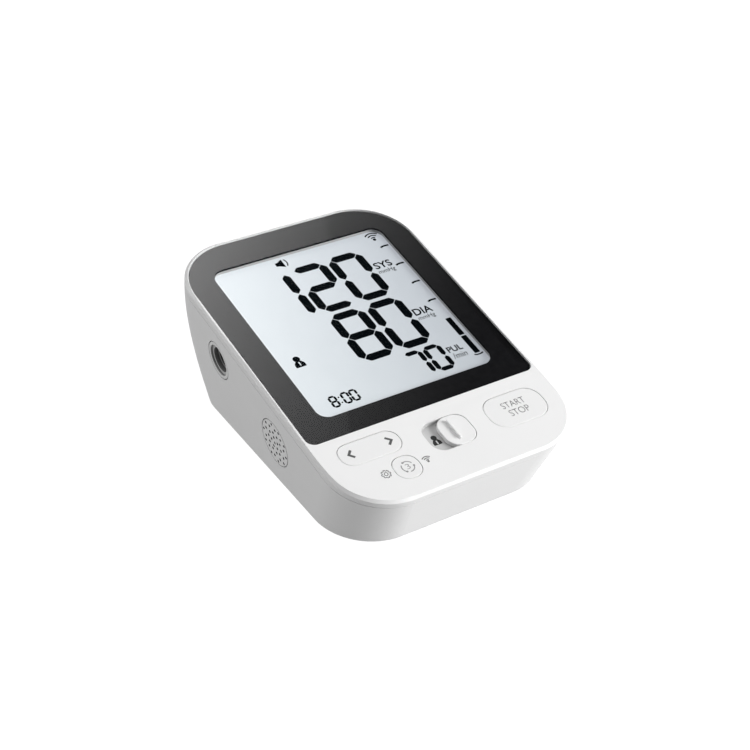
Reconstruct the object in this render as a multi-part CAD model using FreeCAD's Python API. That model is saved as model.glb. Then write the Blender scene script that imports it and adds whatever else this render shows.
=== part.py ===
import FreeCAD, Part
import math
import os

V = FreeCAD.Vector
os.makedirs("parts", exist_ok=True)

# Upper arm blood pressure monitor, main unit.  All sizes in millimetres.
# The sloping top is the "panel": u runs to the right, v up the slope from the
# front edge of the display lens, w out of the panel.  Base things use x, y, z
# with z measured up from the underside of the case.

# ---------------------------------------------------------------- case sizes
CASE_WIDTH = 100.4
FRONT_LENGTH = 35.3        # panel in front of the display lens
REAR_LENGTH = 109.3        # panel behind the front edge of the lens
LENS_HEIGHT = 34.4         # front edge of the lens above the case underside
PANEL_TILT = 12.0          # slope of the panel, degrees
SIDE_DRAFT = 0.117         # walls lean in by this much per mm of depth
FRONT_DRAFT = 0.205
REAR_BULGE = 0.186         # the back wall first bulges, then sweeps forward
REAR_SWEEP = 0.010
FRONT_CORNER = 22.6
REAR_CORNER = 23.9
TOP_EDGE_BEVEL = 1.1       # flat bevel around the top
BASE_EDGE_ROUND = 2.5
WALL = 2.2
TOP_WALL = 2.5
PARTING_DEPTH = 3.8        # the two case halves meet this far below the panel
PARTING_GAP = 0.25         # groove that shows between them
TONGUE_LENGTH = 2.2
TONGUE_INSET = 1.2
TONGUE_CLEARANCE = 0.1
LOFT_STEPS = 6
ROOT = 0.5                 # ribs, posts and caps run this far into what they stand on
PAST = 1.0                 # cutting tools run this far past the faces they open

# ------------------------------------------------------------- display sizes
LENS_SIDE_RIM = 1.6         # top of the case left beside the lens
LENS_REAR_RIM = 1.5
LENS_WIDTH = CASE_WIDTH - 2 * LENS_SIDE_RIM
LENS_LENGTH = REAR_LENGTH - LENS_REAR_RIM
LENS_THICKNESS = 0.8
LENS_FRONT_CORNER = 3.5
LENS_REAR_CORNER = 22.4
LENS_GAP = 0.12
MASK_THICKNESS = 0.1
TAPE_THICKNESS = 0.15
TAPE_MARGIN = 0.6
TAPE_WIDTH = 4.0
TAPE_INNER_CORNER = 1.0
WINDOW_WIDTH = 75.4
WINDOW_FRONT = 10.1
WINDOW_REAR = 93.9
WINDOW_CORNER = 4.6
CASE_WINDOW_MARGIN = 0.4   # the case opening is this much wider all round
LCD_MARGIN = 1.9           # glass beyond the window
LCD_THICKNESS = 2.2
LCD_FRAME_WALL = 1.0
LCD_FRAME_GAP = 0.2
BACKLIGHT_SETBACK = 4.5
STRIP_WIDTH = 2.4
STRIP_SETBACK = 1.0        # strip from the front edge of the glass
STRIP_END = 4.0            # strip stops this far short of the glass's sides
FIT = 0.02                 # snug fit between pieces that stay together

# --------------------------------------------------------------- board sizes
BOARD_TOP = 8.2            # depth of the board's top face
BOARD_THICKNESS = 1.6
BOARD_SIDE_ROOM = 1.8      # board from the inside of the side walls, at the top
BOARD_REAR_ROOM = 9.6
BOARD_WIDTH = CASE_WIDTH - 2 * (WALL + BOARD_SIDE_ROOM)
BOARD_FRONT = -21.5
BOARD_REAR = REAR_LENGTH - WALL - BOARD_REAR_ROOM
BOARD_CORNER = 20.0
BOARD_NOSE_WIDTH = 62.0
BOARD_NOSE_FRONT = -26.0
BOARD_POST_RADIUS = 2.2
BOARD_POST_ROOM = 0.4      # posts from the sides of the display's frame
LCD_FRAME_HALF = WINDOW_WIDTH / 2 + LCD_MARGIN + LCD_FRAME_GAP + LCD_FRAME_WALL
BOARD_POST_U = LCD_FRAME_HALF + BOARD_POST_ROOM + BOARD_POST_RADIUS
BOARD_POST_V = (8.0, BOARD_REAR - 8.5)
BOARD_SCREW_RADIUS = 1.1
BOARD_SCREW_HEAD = (2.2, 1.4)      # radius, height
BOARD_SCREW_REACH = 3.6            # into the post
BOARD_ROOM = 0.4                   # free space kept under the board
SCREW_TIP_ROOM = 0.5               # free depth beyond a screw's tip
BOARD_SCREW_SLOT = 0.6
RADIO_MODULE = (-29.0, 86.0, 14.0, 12.0, 2.0)      # u, v, width, length, height

# ------------------------------------------------------------- control sizes
BUTTON_GAP = 0.2
START_SIZE = (24.6, 14.9, 6.3)     # width, height, corner radius
START_CENTRE = (29.8, -14.05)
AVERAGE_SIZE = (10.1, 10.3, 4.4)
AVERAGE_CENTRE = (-22.45, -22.0)
ROCKER_SIZE = (24.5, 10.1, 4.7)
ROCKER_CENTRE = (-29.75, -9.05)
ROCKER_CAP = 1.7
ROCKER_PIVOT_DEPTH = 3.9
ROCKER_PIN_RADIUS = 1.0
ROCKER_PIN_CLEARANCE = 0.05
ROCKER_LUG = (4.4, 1.6)            # width along u, thickness along v
ROCKER_LUG_GAP = 0.3               # lug from the edge of the key's opening
ROCKER_ARM = 8.0                   # each stem from the pivot
ROCKER_STEM_RADIUS = 1.3
BUTTON_TRAVEL = 0.8
FLANGE_MARGIN = 0.8
FLANGE_THICKNESS = 1.0
STEM_RADIUS = 1.5
DOME_ROOM = 0.6                    # stem's end from the dome with the key down
SWITCH_BODY = 6.0
SWITCH_HEIGHT = 3.2
SWITCH_BORE = 1.9
SWITCH_FLOOR = 0.5
DOME_THICKNESS = 0.3
DOME_GAP = 0.1
STEM_TIP = BOARD_TOP - SWITCH_FLOOR - DOME_THICKNESS - BUTTON_TRAVEL - DOME_ROOM
BUTTON_EDGE_ROUND = 0.3

SLIDER_RECESS = (19.2, 14.3, 5.2)
SLIDER_CENTRE = (0.4, -14.15)
SLIDER_DEPTH = 2.0
SLIDER_FLOOR = 1.3
SLIDER_KNOB_WIDTH = 12.4
SLIDER_GAP = 0.2
SLIDER_SOFT = 0.4                  # softened bottom corner of the recess
SLIDER_RIB = (1.0, 9.2, 1.2)       # width, length, height of the thumb rib
SLIDER_RIB_U = -1.3                # rib from the knob's centre
SLIDER_STEM = (3.0, 3.0)
SLIDER_STEM_U = 2.6                # stem from the knob's centre, so the knob hides the slot
SLIDER_RETAINER = (8.0, 6.4, 1.2)
SLIDER_FLOAT = 0.1                 # knob and retainer clear of the floor between them
SLIDER_STEM_LENGTH = 0.5           # stem beyond the retainer
LEVER_SIZE = (1.8, 1.3)
LEVER_GRIP = 1.2                   # lever's reach into the stem
LEVER_FLOOR = 1.0                  # solid switch under the lever
LEVER_GAP = (0.2, 0.1)             # along the travel, across it
SLIDE_SWITCH = (12.0, 6.0, 2.9)

# ----------------------------------------------------- left wall: jack, speaker
JACK_AT = (65.2, 16.6)             # v and depth of the centre
JACK_GAP = 0.3
JACK_BODY_RADIUS = 6.9
JACK_FLANGE = (JACK_BODY_RADIUS + 0.7, 1.6)     # radius, thickness
JACK_STEPS = ((6.2, 0.9), (5.1, 2.6), (3.9, 4.5))   # radius and depth of each step
JACK_BORE_RADIUS = 2.6
JACK_BORE_LENGTH = 9.0
JACK_SHOULDER = 6.2
JACK_BARREL_RADIUS = 4.2
JACK_FLOOR = 1.5
BARB_LENGTH = 7.0
BARB_RADIUS = 1.9
BARB_BORE = 0.9
JACK_RIM_ROUND = 0.35
JACK_NOTCH = (7.5, 2.5)            # board cut back: depth from its edge, room beside the body
GRILLE_AT = (22.0, 19.7)
GRILLE_RADIUS = 9.45
GRILLE_THICKNESS = 1.3
GRILLE_GAP = 0.2
GRILLE_LEDGE = 1.0
GRILLE_CHAMFER = 0.25
GRILLE_HOLE_RADIUS = 0.58
GRILLE_RINGS = (                   # ring radius, number of holes, first angle
    (0.0, 1, 0.0),
    (2.35, 5, 0.0),
    (4.5, 10, 0.0),
    (6.75, 10, 18.0),
    (8.15, 10, 0.0),
)
SPEAKER_RADIUS = 8.9
SPEAKER_DEPTH = 2.6
MAGNET_RADIUS = 5.6
MAGNET_DEPTH = 2.6
BASKET_BACK = 0.6
CONE_RADIUS = 7.4
CONE_THROAT_RADIUS = 4.0
CONE_DEPTH = 1.6
CONE_WALL = 0.5
CONE_GAP = 0.2
GASKET_THICKNESS = 0.4
GASKET_WIDTH = 1.2
COLLAR_WALL = 1.2                  # ring inside the wall that holds the speaker
COLLAR_DEPTH = 3.0
COLLAR_SETBACK = 0.2               # collar starts this far behind the grille

# ------------------------------------------------------------ battery and base
CELL_RADIUS = 7.25
CELL_LENGTH = 50.5
CELL_TIP = (2.75, 1.2)
CELL_COUNT = 4
CELL_SPACE = 0.5
CELL_PITCH = 2 * CELL_RADIUS + CELL_SPACE
SPRING_LENGTH = 5.0
SPRING_RADIUS = 3.0
SPRING_WIRE = 0.4
SPRING_PITCH = 1.6
CONTACT_THICKNESS = 0.4
CONTACT_SIZE = 10.0
BAY_FRONT = -11.0
BAY_WALL = 1.6
BAY_SPARE = 0.4                    # free length of the bay along the row of cells
BAY_REAR = BAY_FRONT + CELL_COUNT * CELL_PITCH + BAY_SPARE
CHIP_FROM_BAY = 5.4                # middle of the main chip, in front of the bay's rear wall
BOARD_CHIPS = (                    # u, v, width, length, height
    (22.0, BAY_REAR - CHIP_FROM_BAY, 12.0, 12.0, 1.4),
    (30.0, 22.0, 5.0, 6.0, 1.2),
    (14.0, 22.0, 6.0, 5.0, 1.2),
    (-24.0, 44.0, 8.0, 5.0, 1.6),
)
CELL_GAP_BELOW = 0.2
CELL_GAP_ABOVE = 0.3
DOOR_THICKNESS = 1.6
DOOR_LEDGE = 2.0
DOOR_GAP = 0.2
DOOR_SHELF = 0.4
GRIP_WIDTH = 0.8
DOOR_CORNER = 1.2
DOOR_RIM = 1.8                     # width of the rim that stands up inside the bay
LATCH = (16.0, 9.0, 1.0)           # width, length and slot of the latch finger
GRIP_COUNT = 4                     # grooves in the latch finger
GRIP_START = 2.0
GRIP_PITCH = 1.8
GRIP_LENGTH = 10.0
GRIP_DEPTH = 0.5
FOOT_RADIUS = 4.5
FOOT_RECESS = 0.8
FOOT_PROUD = 0.6
FRONT_FEET = (37.0, -6.0)
REAR_FEET = (27.0, 79.0)

CASE_SCREW_AT = (12.9, -24.0)
CASE_BOSS_RADIUS = 3.2
CASE_BOSS_DEPTH = 7.0
CASE_SCREW_RADIUS = 1.45
CASE_SCREW_HEAD = (2.7, 2.0)
CASE_SCREW_SEAT = 2.2
CASE_SCREW_CLEARANCE = 0.15
CASE_SCREW_STOP = 1.0              # tip stops this far under the inside of the top
CROSS_SLOT = (4.0, 0.6)            # length and width of each arm of the drive
CASE_WELL_RADIUS = 3.0
CASE_TOWER_RADIUS = 4.2
HOOK_U = (16.0, 26.0)
HOOK_ARM = 1.7
HOOK_DEPTH = 9.0
HOOK_NUB = (0.9, 1.4)              # reach, height
HOOK_GAP = 0.3                     # arm from the inside of the back wall
HOOK_PLAY = 0.1                    # slot larger than the nub above and below
HOOK_PLAY_WIDE = 0.2               # and at its ends

# ------------------------------------------------------------------ air system
PUMP_CENTRE_Y = 80.0
PUMP_CENTRE_Z = 16.2
MOTOR_RADIUS = 12.0
MOTOR_SPAN = (-14.0, 16.0)
HEAD_RADIUS = 13.2
HEAD_SPAN = (16.0, 38.0)
SLEEVE_THICKNESS = 1.5
SLEEVE_SPAN = (-3.0, 13.0)
CRADLE_WIDTH = 2.0
CRADLE_X = (-2.0, 10.0)
CRADLE_HALF = 10.0
CRADLE_TOP = 9.5
PUMP_NOZZLE_X = 27.0
NOZZLE_LENGTH = 5.0
NOZZLE_RADIUS = 1.9
NOZZLE_BORE = 0.9
SHAFT_RADIUS = 1.5
SHAFT_CLEARANCE = 0.05
CRANK_RADIUS = 5.0
CRANK_OFFSET = 1.5
CRANK_SPAN = (21.0, 26.0)
MOTOR_EDGE_ROUND = 1.5
HEAD_EDGE_ROUND = 1.0
SHAFT_IN_MOTOR = 7.0
HEAD_WALL = 3.0
HEAD_CAVITY_RADIUS = 9.5
HEAD_CAVITY_LENGTH = 14.0
VALVE_X = (-34.0, -20.0)
VALVE_Y = (74.0, 88.0)
VALVE_TOP = 20.0
VALVE_NOZZLE_Z = 12.0
VALVE_EDGE_ROUND = 1.0
VALVE_BORE_DEPTH = 6.0
SENSOR_U = -4.0
SENSOR_WIDTH = 9.0
SENSOR_BORE_DEPTH = 4.0
SENSOR_V = (27.0, 36.0)
SENSOR_THICKNESS = 6.4
SENSOR_PORT = 9.0
MANIFOLD_Y = 65.0
MANIFOLD_Z = 32.0
MANIFOLD_SPAN = (-14.0, 2.0)
MANIFOLD_RADIUS = 3.0
MANIFOLD_PORT = 5.0
MANIFOLD_SENSOR_X = -4.0
MANIFOLD_VALVE_X = -11.5
TUBE_WALL = 0.9
TUBE_FIT = 0.02
TUBE_GRIP = 4.0
PUMP_TUBE_BEND = (-6.0, -4.0, 2.2)     # from the tip of the pump's nozzle
VALVE_TUBE_BEND = (-5.0, 1.0)          # y from the manifold, z from the valve's nozzle
LEAD_RADIUS = 0.6
LEAD_LIFT = 3.0
PUMP_LEAD_SPREAD = 4.0                 # each lead from the motor's axis
PUMP_LEAD_RISE = 6.0
PUMP_LEAD_PAD = (-18.0, 3.0)           # board pad: u, and y from the motor's terminal
SPEAKER_LEAD_SPREAD = 7.4
SPEAKER_LEAD_PAD_U = -36.0
BATTERY_LEAD_INSET = 3.0
BATTERY_LEAD_PITCH = 4.0
BATTERY_LEAD_DROP = 4.0
BATTERY_LEAD_PAD = 8.0                 # board pads behind the bay

BIG = 600.0
PANEL = FreeCAD.Placement(V(0, 0, LENS_HEIGHT), FreeCAD.Rotation(V(1, 0, 0), PANEL_TILT))
TILT = math.radians(PANEL_TILT)
MAX_DEPTH = (LENS_HEIGHT + REAR_LENGTH * math.sin(TILT)) / math.cos(TILT)
BOARD_BOTTOM = BOARD_TOP + BOARD_THICKNESS
LENS_POCKET = LENS_THICKNESS + MASK_THICKNESS + TAPE_THICKNESS


# ------------------------------------------------------------------- helpers
def on_panel(shape):
    """Moves a shape drawn in u, v, w into the x, y, z of the case."""
    moved = shape.copy()
    moved.Placement = PANEL.multiply(moved.Placement)
    return moved


def panel_point(u, v, w):
    return PANEL.multVec(V(u, v, w))


def box(x0, x1, y0, y1, z0, z1):
    return Part.makeBox(x1 - x0, y1 - y0, z1 - z0, V(x0, y0, z0))


def rod(start, direction, radius, length):
    return Part.makeCylinder(radius, length, start, direction)


def hollow_rod(start, direction, radius, bore, length):
    return rod(start, direction, radius, length).cut(rod(start, direction, bore, length))


def outline(left, right, front, rear, front_radius, rear_radius, w):
    """Closed wire: a rectangle with rounded corners at height w."""
    corners = (
        (right - front_radius, front + front_radius, front_radius, -90),
        (right - rear_radius, rear - rear_radius, rear_radius, 0),
        (left + rear_radius, rear - rear_radius, rear_radius, 90),
        (left + front_radius, front + front_radius, front_radius, 180),
    )
    arcs = []
    for cu, cv, radius, start in corners:
        points = []
        for turn in (0, 45, 90):
            angle = math.radians(start + turn)
            points.append(V(cu + radius * math.cos(angle), cv + radius * math.sin(angle), w))
        arcs.append(points)
    edges = []
    for i, points in enumerate(arcs):
        edges.append(Part.Arc(*points).toShape())
        following = arcs[(i + 1) % len(arcs)][0]
        edges.append(Part.makeLine(points[2], following))
    return Part.Wire(edges)


def plate(left, right, front, rear, front_radius, rear_radius, w0, w1):
    wire = outline(left, right, front, rear, front_radius, rear_radius, w0)
    return Part.Face(wire).extrude(V(0, 0, w1 - w0))


def pad(centre, size, grow, w0, w1):
    """Rounded plate about a centre; grow widens it all round."""
    half_u = size[0] / 2 + grow
    half_v = size[1] / 2 + grow
    u, v = centre
    radius = size[2] + grow
    return plate(u - half_u, u + half_u, v - half_v, v + half_v, radius, radius, w0, w1)


def side_at(depth):
    return CASE_WIDTH / 2 - SIDE_DRAFT * depth


def front_at(depth):
    return -FRONT_LENGTH + FRONT_DRAFT * depth


def rear_at(depth):
    return REAR_LENGTH + REAR_BULGE * depth - REAR_SWEEP * depth * depth


def case_block(inset):
    """The case as a full block, with every wall moved in by inset."""
    wires = []
    for i in range(LOFT_STEPS + 1):
        depth = MAX_DEPTH * i / LOFT_STEPS
        half = side_at(depth) - inset
        wires.append(outline(-half, half, front_at(depth) + inset, rear_at(depth) - inset,
                             FRONT_CORNER - inset, REAR_CORNER - inset, -depth))
    return on_panel(Part.makeLoft(wires, True, False))


def panel_slab(w0, w1):
    return on_panel(box(-BIG, BIG, -BIG, BIG, w0, w1))


def above(z):
    return box(-BIG, BIG, -BIG, BIG, z, BIG)


def edges_near(shape, test):
    found = []
    for edge in shape.Edges:
        middle = edge.valueAt((edge.FirstParameter + edge.LastParameter) / 2)
        ends = [vertex.Point for vertex in edge.Vertexes]
        if all(test(point) for point in ends + [middle]):
            found.append(edge)
    return found


def on_top(point):
    return abs(PANEL.inverse().multVec(point).z) < 0.01


def on_base(point):
    return abs(point.z) < 0.01


def wall_placement(at):
    """Frame on the left wall: z points out of the wall, x runs along v."""
    v, depth = at
    out = V(-1, 0, -SIDE_DRAFT)
    out.normalize()
    along = V(0, 1, 0)
    turn = FreeCAD.Rotation(along, out.cross(along), out, "ZXY")
    return PANEL.multiply(FreeCAD.Placement(V(-side_at(depth), v, -depth), turn))


def on_wall(at, shape):
    moved = shape.copy()
    moved.Placement = wall_placement(at).multiply(moved.Placement)
    return moved


def wall_rod(radius, z0, z1):
    return rod(V(0, 0, z0), V(0, 0, 1), radius, z1 - z0)


def fuse(shapes):
    whole = shapes[0]
    for shape in shapes[1:]:
        whole = whole.fuse(shape)
    return whole.removeSplitter()


def cut(shape, tools):
    for tool in tools:
        shape = shape.cut(tool)
    return shape


def swept(points, start_direction, end_direction, radius, grip):
    """Round bar along a smooth path; both ends stay straight for the grip length."""
    first = points[0]
    last = points[-1]
    start = first + V(start_direction).normalize().multiply(grip)
    end = last + V(end_direction).normalize().multiply(grip)
    curve = Part.BSplineCurve()
    curve.interpolate(Points=[start] + list(points[1:-1]) + [end],
                      InitialTangent=V(start_direction).normalize(),
                      FinalTangent=V(end_direction).normalize().multiply(-1))
    path = Part.Wire([Part.makeLine(first, start), curve.toShape(), Part.makeLine(end, last)])
    ring = Part.Wire([Part.makeCircle(radius, first, V(start_direction))])
    return path.makePipeShell([ring], True, False)


def tube(points, start_direction, end_direction, bore):
    """Soft tube whose bore fits over a nozzle at both ends."""
    outer = swept(points, start_direction, end_direction, bore + TUBE_WALL, TUBE_GRIP)
    inner = swept(points, start_direction, end_direction, bore, TUBE_GRIP)
    return outer.cut(inner)


def mirror_pair(u):
    return (-u, u)


nodes = {}

# ---------------------------------------------------------------------- case
body = case_block(0).common(above(0))
body = body.makeChamfer(TOP_EDGE_BEVEL, edges_near(body, on_top))
body = body.makeFillet(BASE_EDGE_ROUND, edges_near(body, on_base))
inner_block = case_block(WALL)
cavity = inner_block.common(panel_slab(-BIG, -TOP_WALL)).common(above(WALL))

upper = body.common(panel_slab(-PARTING_DEPTH, BIG)).cut(cavity)
tongue_band = panel_slab(-PARTING_DEPTH - TONGUE_LENGTH, -TOP_WALL)
tongue = case_block(TONGUE_INSET).cut(inner_block).common(tongue_band)
lower = body.common(panel_slab(-BIG, -PARTING_DEPTH - PARTING_GAP)).cut(cavity)
rebate = case_block(TONGUE_INSET - TONGUE_CLEARANCE)
rebate = rebate.common(panel_slab(-PARTING_DEPTH - TONGUE_LENGTH, 0))
lower = lower.cut(rebate)

# ---- upper case: lens pocket, window, button openings, posts and hooks
lens_half = LENS_WIDTH / 2


def lens_plate(grow, w0, w1):
    return plate(-lens_half - grow, lens_half + grow, -grow, LENS_LENGTH + grow,
                 LENS_FRONT_CORNER + grow, LENS_REAR_CORNER + grow, w0, w1)


def window_plate(grow, w0, w1):
    half = WINDOW_WIDTH / 2 + grow
    radius = WINDOW_CORNER + grow
    return plate(-half, half, WINDOW_FRONT - grow, WINDOW_REAR + grow, radius, radius, w0, w1)


upper_cuts = [
    lens_plate(LENS_GAP, -LENS_POCKET, PAST),
    window_plate(CASE_WINDOW_MARGIN, -TOP_WALL - PAST, PAST),
    pad(START_CENTRE, START_SIZE, BUTTON_GAP, -TOP_WALL - PAST, PAST),
    pad(AVERAGE_CENTRE, AVERAGE_SIZE, BUTTON_GAP, -TOP_WALL - PAST, PAST),
    pad(ROCKER_CENTRE, ROCKER_SIZE, BUTTON_GAP, -TOP_WALL - PAST, PAST),
]
recess = pad(SLIDER_CENTRE, SLIDER_RECESS, 0, -SLIDER_DEPTH, PAST)
recess_floor = edges_near(recess, lambda point: abs(point.z + SLIDER_DEPTH) < 0.01)
recess = recess.makeFillet(SLIDER_SOFT, recess_floor)
upper_cuts.append(recess)

slider_floor = SLIDER_DEPTH + SLIDER_FLOOR
slider_pan = pad(SLIDER_CENTRE, SLIDER_RECESS, SLIDER_FLOOR, -slider_floor, -SLIDER_DEPTH)
knob_centre_u = SLIDER_CENTRE[0] + SLIDER_RECESS[0] / 2 - SLIDER_GAP - SLIDER_KNOB_WIDTH / 2
slider_travel = SLIDER_RECESS[0] - SLIDER_KNOB_WIDTH - 2 * SLIDER_GAP
stem_half_u = SLIDER_STEM[0] / 2
stem_half_v = SLIDER_STEM[1] / 2
stem_u = knob_centre_u + SLIDER_STEM_U
slot = box(stem_u - slider_travel - stem_half_u - SLIDER_GAP, stem_u + stem_half_u + SLIDER_GAP,
           SLIDER_CENTRE[1] - stem_half_v - SLIDER_GAP, SLIDER_CENTRE[1] + stem_half_v + SLIDER_GAP,
           -slider_floor - PAST, 0)

rocker_u, rocker_v = ROCKER_CENTRE
rocker_half_v = ROCKER_SIZE[1] / 2
lug_inner = rocker_half_v + BUTTON_GAP + ROCKER_LUG_GAP
lugs = []
for side in (-1, 1):
    v_near = rocker_v + side * lug_inner
    v_far = v_near + side * ROCKER_LUG[1]
    lugs.append(box(rocker_u - ROCKER_LUG[0] / 2, rocker_u + ROCKER_LUG[0] / 2,
                    min(v_near, v_far), max(v_near, v_far),
                    -ROCKER_PIVOT_DEPTH - 2 * ROCKER_PIN_RADIUS, -TOP_WALL))
lug_reach = lug_inner + ROCKER_LUG[1]
lug_bore = rod(V(rocker_u, rocker_v - lug_reach - PAST, -ROCKER_PIVOT_DEPTH), V(0, 1, 0),
               ROCKER_PIN_RADIUS + ROCKER_PIN_CLEARANCE, 2 * (lug_reach + PAST))

boss_u, boss_v = CASE_SCREW_AT
upper_adds = [on_panel(slider_pan)]
for lug in lugs:
    upper_adds.append(on_panel(lug))
upper_bores = [on_panel(slot), on_panel(lug_bore)]
for u in mirror_pair(boss_u):
    upper_adds.append(on_panel(rod(V(u, boss_v, -CASE_BOSS_DEPTH), V(0, 0, 1), CASE_BOSS_RADIUS,
                                   CASE_BOSS_DEPTH - TOP_WALL / 2)))
    upper_bores.append(on_panel(rod(V(u, boss_v, -CASE_BOSS_DEPTH - PAST), V(0, 0, 1),
                                    CASE_SCREW_RADIUS + FIT, CASE_BOSS_DEPTH - TOP_WALL + PAST)))
for u in mirror_pair(BOARD_POST_U):
    for v in BOARD_POST_V:
        upper_adds.append(on_panel(rod(V(u, v, -BOARD_TOP), V(0, 0, 1), BOARD_POST_RADIUS,
                                       BOARD_TOP - TOP_WALL + ROOT)))
        upper_bores.append(on_panel(rod(V(u, v, -BOARD_TOP - PAST), V(0, 0, 1),
                                        BOARD_SCREW_RADIUS + FIT,
                                        BOARD_SCREW_REACH + SCREW_TIP_ROOM + PAST)))
hook_slots = []
hook_rear = rear_at(HOOK_DEPTH) - WALL - HOOK_GAP
hook_tip = hook_rear + HOOK_GAP + HOOK_NUB[0]
nub_top = -HOOK_DEPTH + HOOK_NUB[1]
for side in (-1, 1):
    u0, u1 = sorted((side * HOOK_U[0], side * HOOK_U[1]))
    arm = box(u0, u1, hook_rear - HOOK_ARM, hook_rear, -HOOK_DEPTH, -TOP_WALL + ROOT)
    nub = box(u0, u1, hook_rear, hook_tip, -HOOK_DEPTH, nub_top)
    upper_adds.append(on_panel(arm.fuse(nub)))
    hook_slots.append(on_panel(box(u0 - HOOK_PLAY_WIDE, u1 + HOOK_PLAY_WIDE, hook_rear + HOOK_PLAY,
                                   hook_tip + HOOK_PLAY_WIDE, -HOOK_DEPTH - HOOK_PLAY,
                                   nub_top + HOOK_PLAY)))

upper = fuse([upper, tongue] + upper_adds)
upper = cut(upper, [on_panel(tool) for tool in upper_cuts] + upper_bores)
nodes["upper_case"] = upper

# ---- battery bay sizes, shared by the lower case, the door and the cells
bay_half = (CELL_LENGTH + SPRING_LENGTH) / 2 + CONTACT_THICKNESS
cell_z = DOOR_THICKNESS + DOOR_SHELF + CELL_RADIUS + CELL_GAP_BELOW
bay_top = cell_z + CELL_RADIUS + CELL_GAP_ABOVE
door_seat = DOOR_THICKNESS

# ---- lower case
lower_adds = [box(-bay_half - BAY_WALL, bay_half + BAY_WALL, BAY_FRONT - BAY_WALL,
                  BAY_REAR + BAY_WALL, WALL / 2, bay_top + BAY_WALL)]
lower_cuts = [
    box(-bay_half, bay_half, BAY_FRONT, BAY_REAR, -PAST, bay_top),
    box(-bay_half - DOOR_LEDGE, bay_half + DOOR_LEDGE, BAY_FRONT - DOOR_LEDGE,
        BAY_REAR + DOOR_LEDGE, -PAST, door_seat),
]
tower_top = panel_slab(-BIG, -CASE_BOSS_DEPTH)
case_seat = CASE_BOSS_DEPTH + CASE_SCREW_SEAT
for u in mirror_pair(boss_u):
    tower = on_panel(rod(V(u, boss_v, -MAX_DEPTH), V(0, 0, 1), CASE_TOWER_RADIUS, MAX_DEPTH))
    lower_adds.append(tower.common(tower_top).common(body).common(above(WALL / 2)))
    lower_cuts.append(on_panel(rod(V(u, boss_v, -MAX_DEPTH), V(0, 0, 1), CASE_WELL_RADIUS,
                                   MAX_DEPTH - case_seat)))
    lower_cuts.append(on_panel(rod(V(u, boss_v, -MAX_DEPTH), V(0, 0, 1),
                                   CASE_SCREW_RADIUS + CASE_SCREW_CLEARANCE, MAX_DEPTH)))
motor_axis = V(0, PUMP_CENTRE_Y, PUMP_CENTRE_Z)
sleeve_radius = MOTOR_RADIUS + SLEEVE_THICKNESS
for x in CRADLE_X:
    rib = box(x, x + CRADLE_WIDTH, PUMP_CENTRE_Y - CRADLE_HALF, PUMP_CENTRE_Y + CRADLE_HALF,
              WALL / 2, CRADLE_TOP)
    lower_adds.append(rib.cut(rod(motor_axis + V(x - PAST, 0, 0), V(1, 0, 0), sleeve_radius,
                                  CRADLE_WIDTH + 2 * PAST)))
feet_at = []
for x_front in mirror_pair(FRONT_FEET[0]):
    feet_at.append((x_front, FRONT_FEET[1]))
for x_rear in mirror_pair(REAR_FEET[0]):
    feet_at.append((x_rear, REAR_FEET[1]))
for x, y in feet_at:
    lower_cuts.append(rod(V(x, y, -PAST), V(0, 0, 1), FOOT_RADIUS + FIT, FOOT_RECESS + PAST))
lower_cuts.append(on_wall(JACK_AT, wall_rod(JACK_FLANGE[0] + JACK_GAP, -JACK_FLANGE[1], PAST)))
lower_cuts.append(on_wall(JACK_AT, wall_rod(JACK_BODY_RADIUS + FIT, -3 * WALL, PAST)))
lower_cuts.append(on_wall(GRILLE_AT, wall_rod(GRILLE_RADIUS + GRILLE_GAP, -GRILLE_THICKNESS, PAST)))
lower_cuts.append(on_wall(GRILLE_AT, wall_rod(GRILLE_RADIUS - GRILLE_LEDGE, -3 * WALL, PAST)))
lower_cuts += hook_slots
lower = cut(fuse([lower] + lower_adds), lower_cuts)
nodes["lower_case"] = lower

# ------------------------------------------------------------------- display
nodes["display_lens"] = on_panel(lens_plate(0, -LENS_THICKNESS, 0))
mask_top = -LENS_THICKNESS
mask = lens_plate(0, mask_top - MASK_THICKNESS, mask_top)
mask = mask.cut(window_plate(0, mask_top - PAST, PAST))
nodes["lens_mask"] = on_panel(mask)
tape_top = mask_top - MASK_THICKNESS
tape = lens_plate(-TAPE_MARGIN, -LENS_POCKET, tape_top)
tape = tape.cut(plate(-lens_half + TAPE_WIDTH, lens_half - TAPE_WIDTH, TAPE_WIDTH,
                      LENS_LENGTH - TAPE_WIDTH, TAPE_INNER_CORNER,
                      LENS_REAR_CORNER - TAPE_WIDTH, -BIG, PAST))
nodes["lens_tape"] = on_panel(tape)

glass_half = WINDOW_WIDTH / 2 + LCD_MARGIN
glass_front = WINDOW_FRONT - LCD_MARGIN
glass_rear = WINDOW_REAR + LCD_MARGIN
lcd_bottom = TOP_WALL + LCD_THICKNESS
nodes["lcd_panel"] = on_panel(box(-glass_half, glass_half, glass_front, glass_rear,
                                  -lcd_bottom, -TOP_WALL))
backlight_front = glass_front + BACKLIGHT_SETBACK
nodes["lcd_backlight"] = on_panel(box(-glass_half, glass_half, backlight_front, glass_rear,
                                      -BOARD_TOP, -lcd_bottom))
strip_front = glass_front + STRIP_SETBACK
nodes["lcd_connector_strip"] = on_panel(box(-glass_half + STRIP_END, glass_half - STRIP_END,
                                            strip_front, strip_front + STRIP_WIDTH, -BOARD_TOP,
                                            -lcd_bottom))
frame_in = LCD_FRAME_GAP
frame_out = LCD_FRAME_GAP + LCD_FRAME_WALL
lcd_frame = box(-glass_half - frame_out, glass_half + frame_out, glass_front - frame_out,
                glass_rear + frame_out, -BOARD_TOP, -TOP_WALL)
lcd_frame = lcd_frame.cut(box(-glass_half - frame_in, glass_half + frame_in, glass_front - frame_in,
                              glass_rear + frame_in, -BOARD_TOP - PAST, 0))
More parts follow.
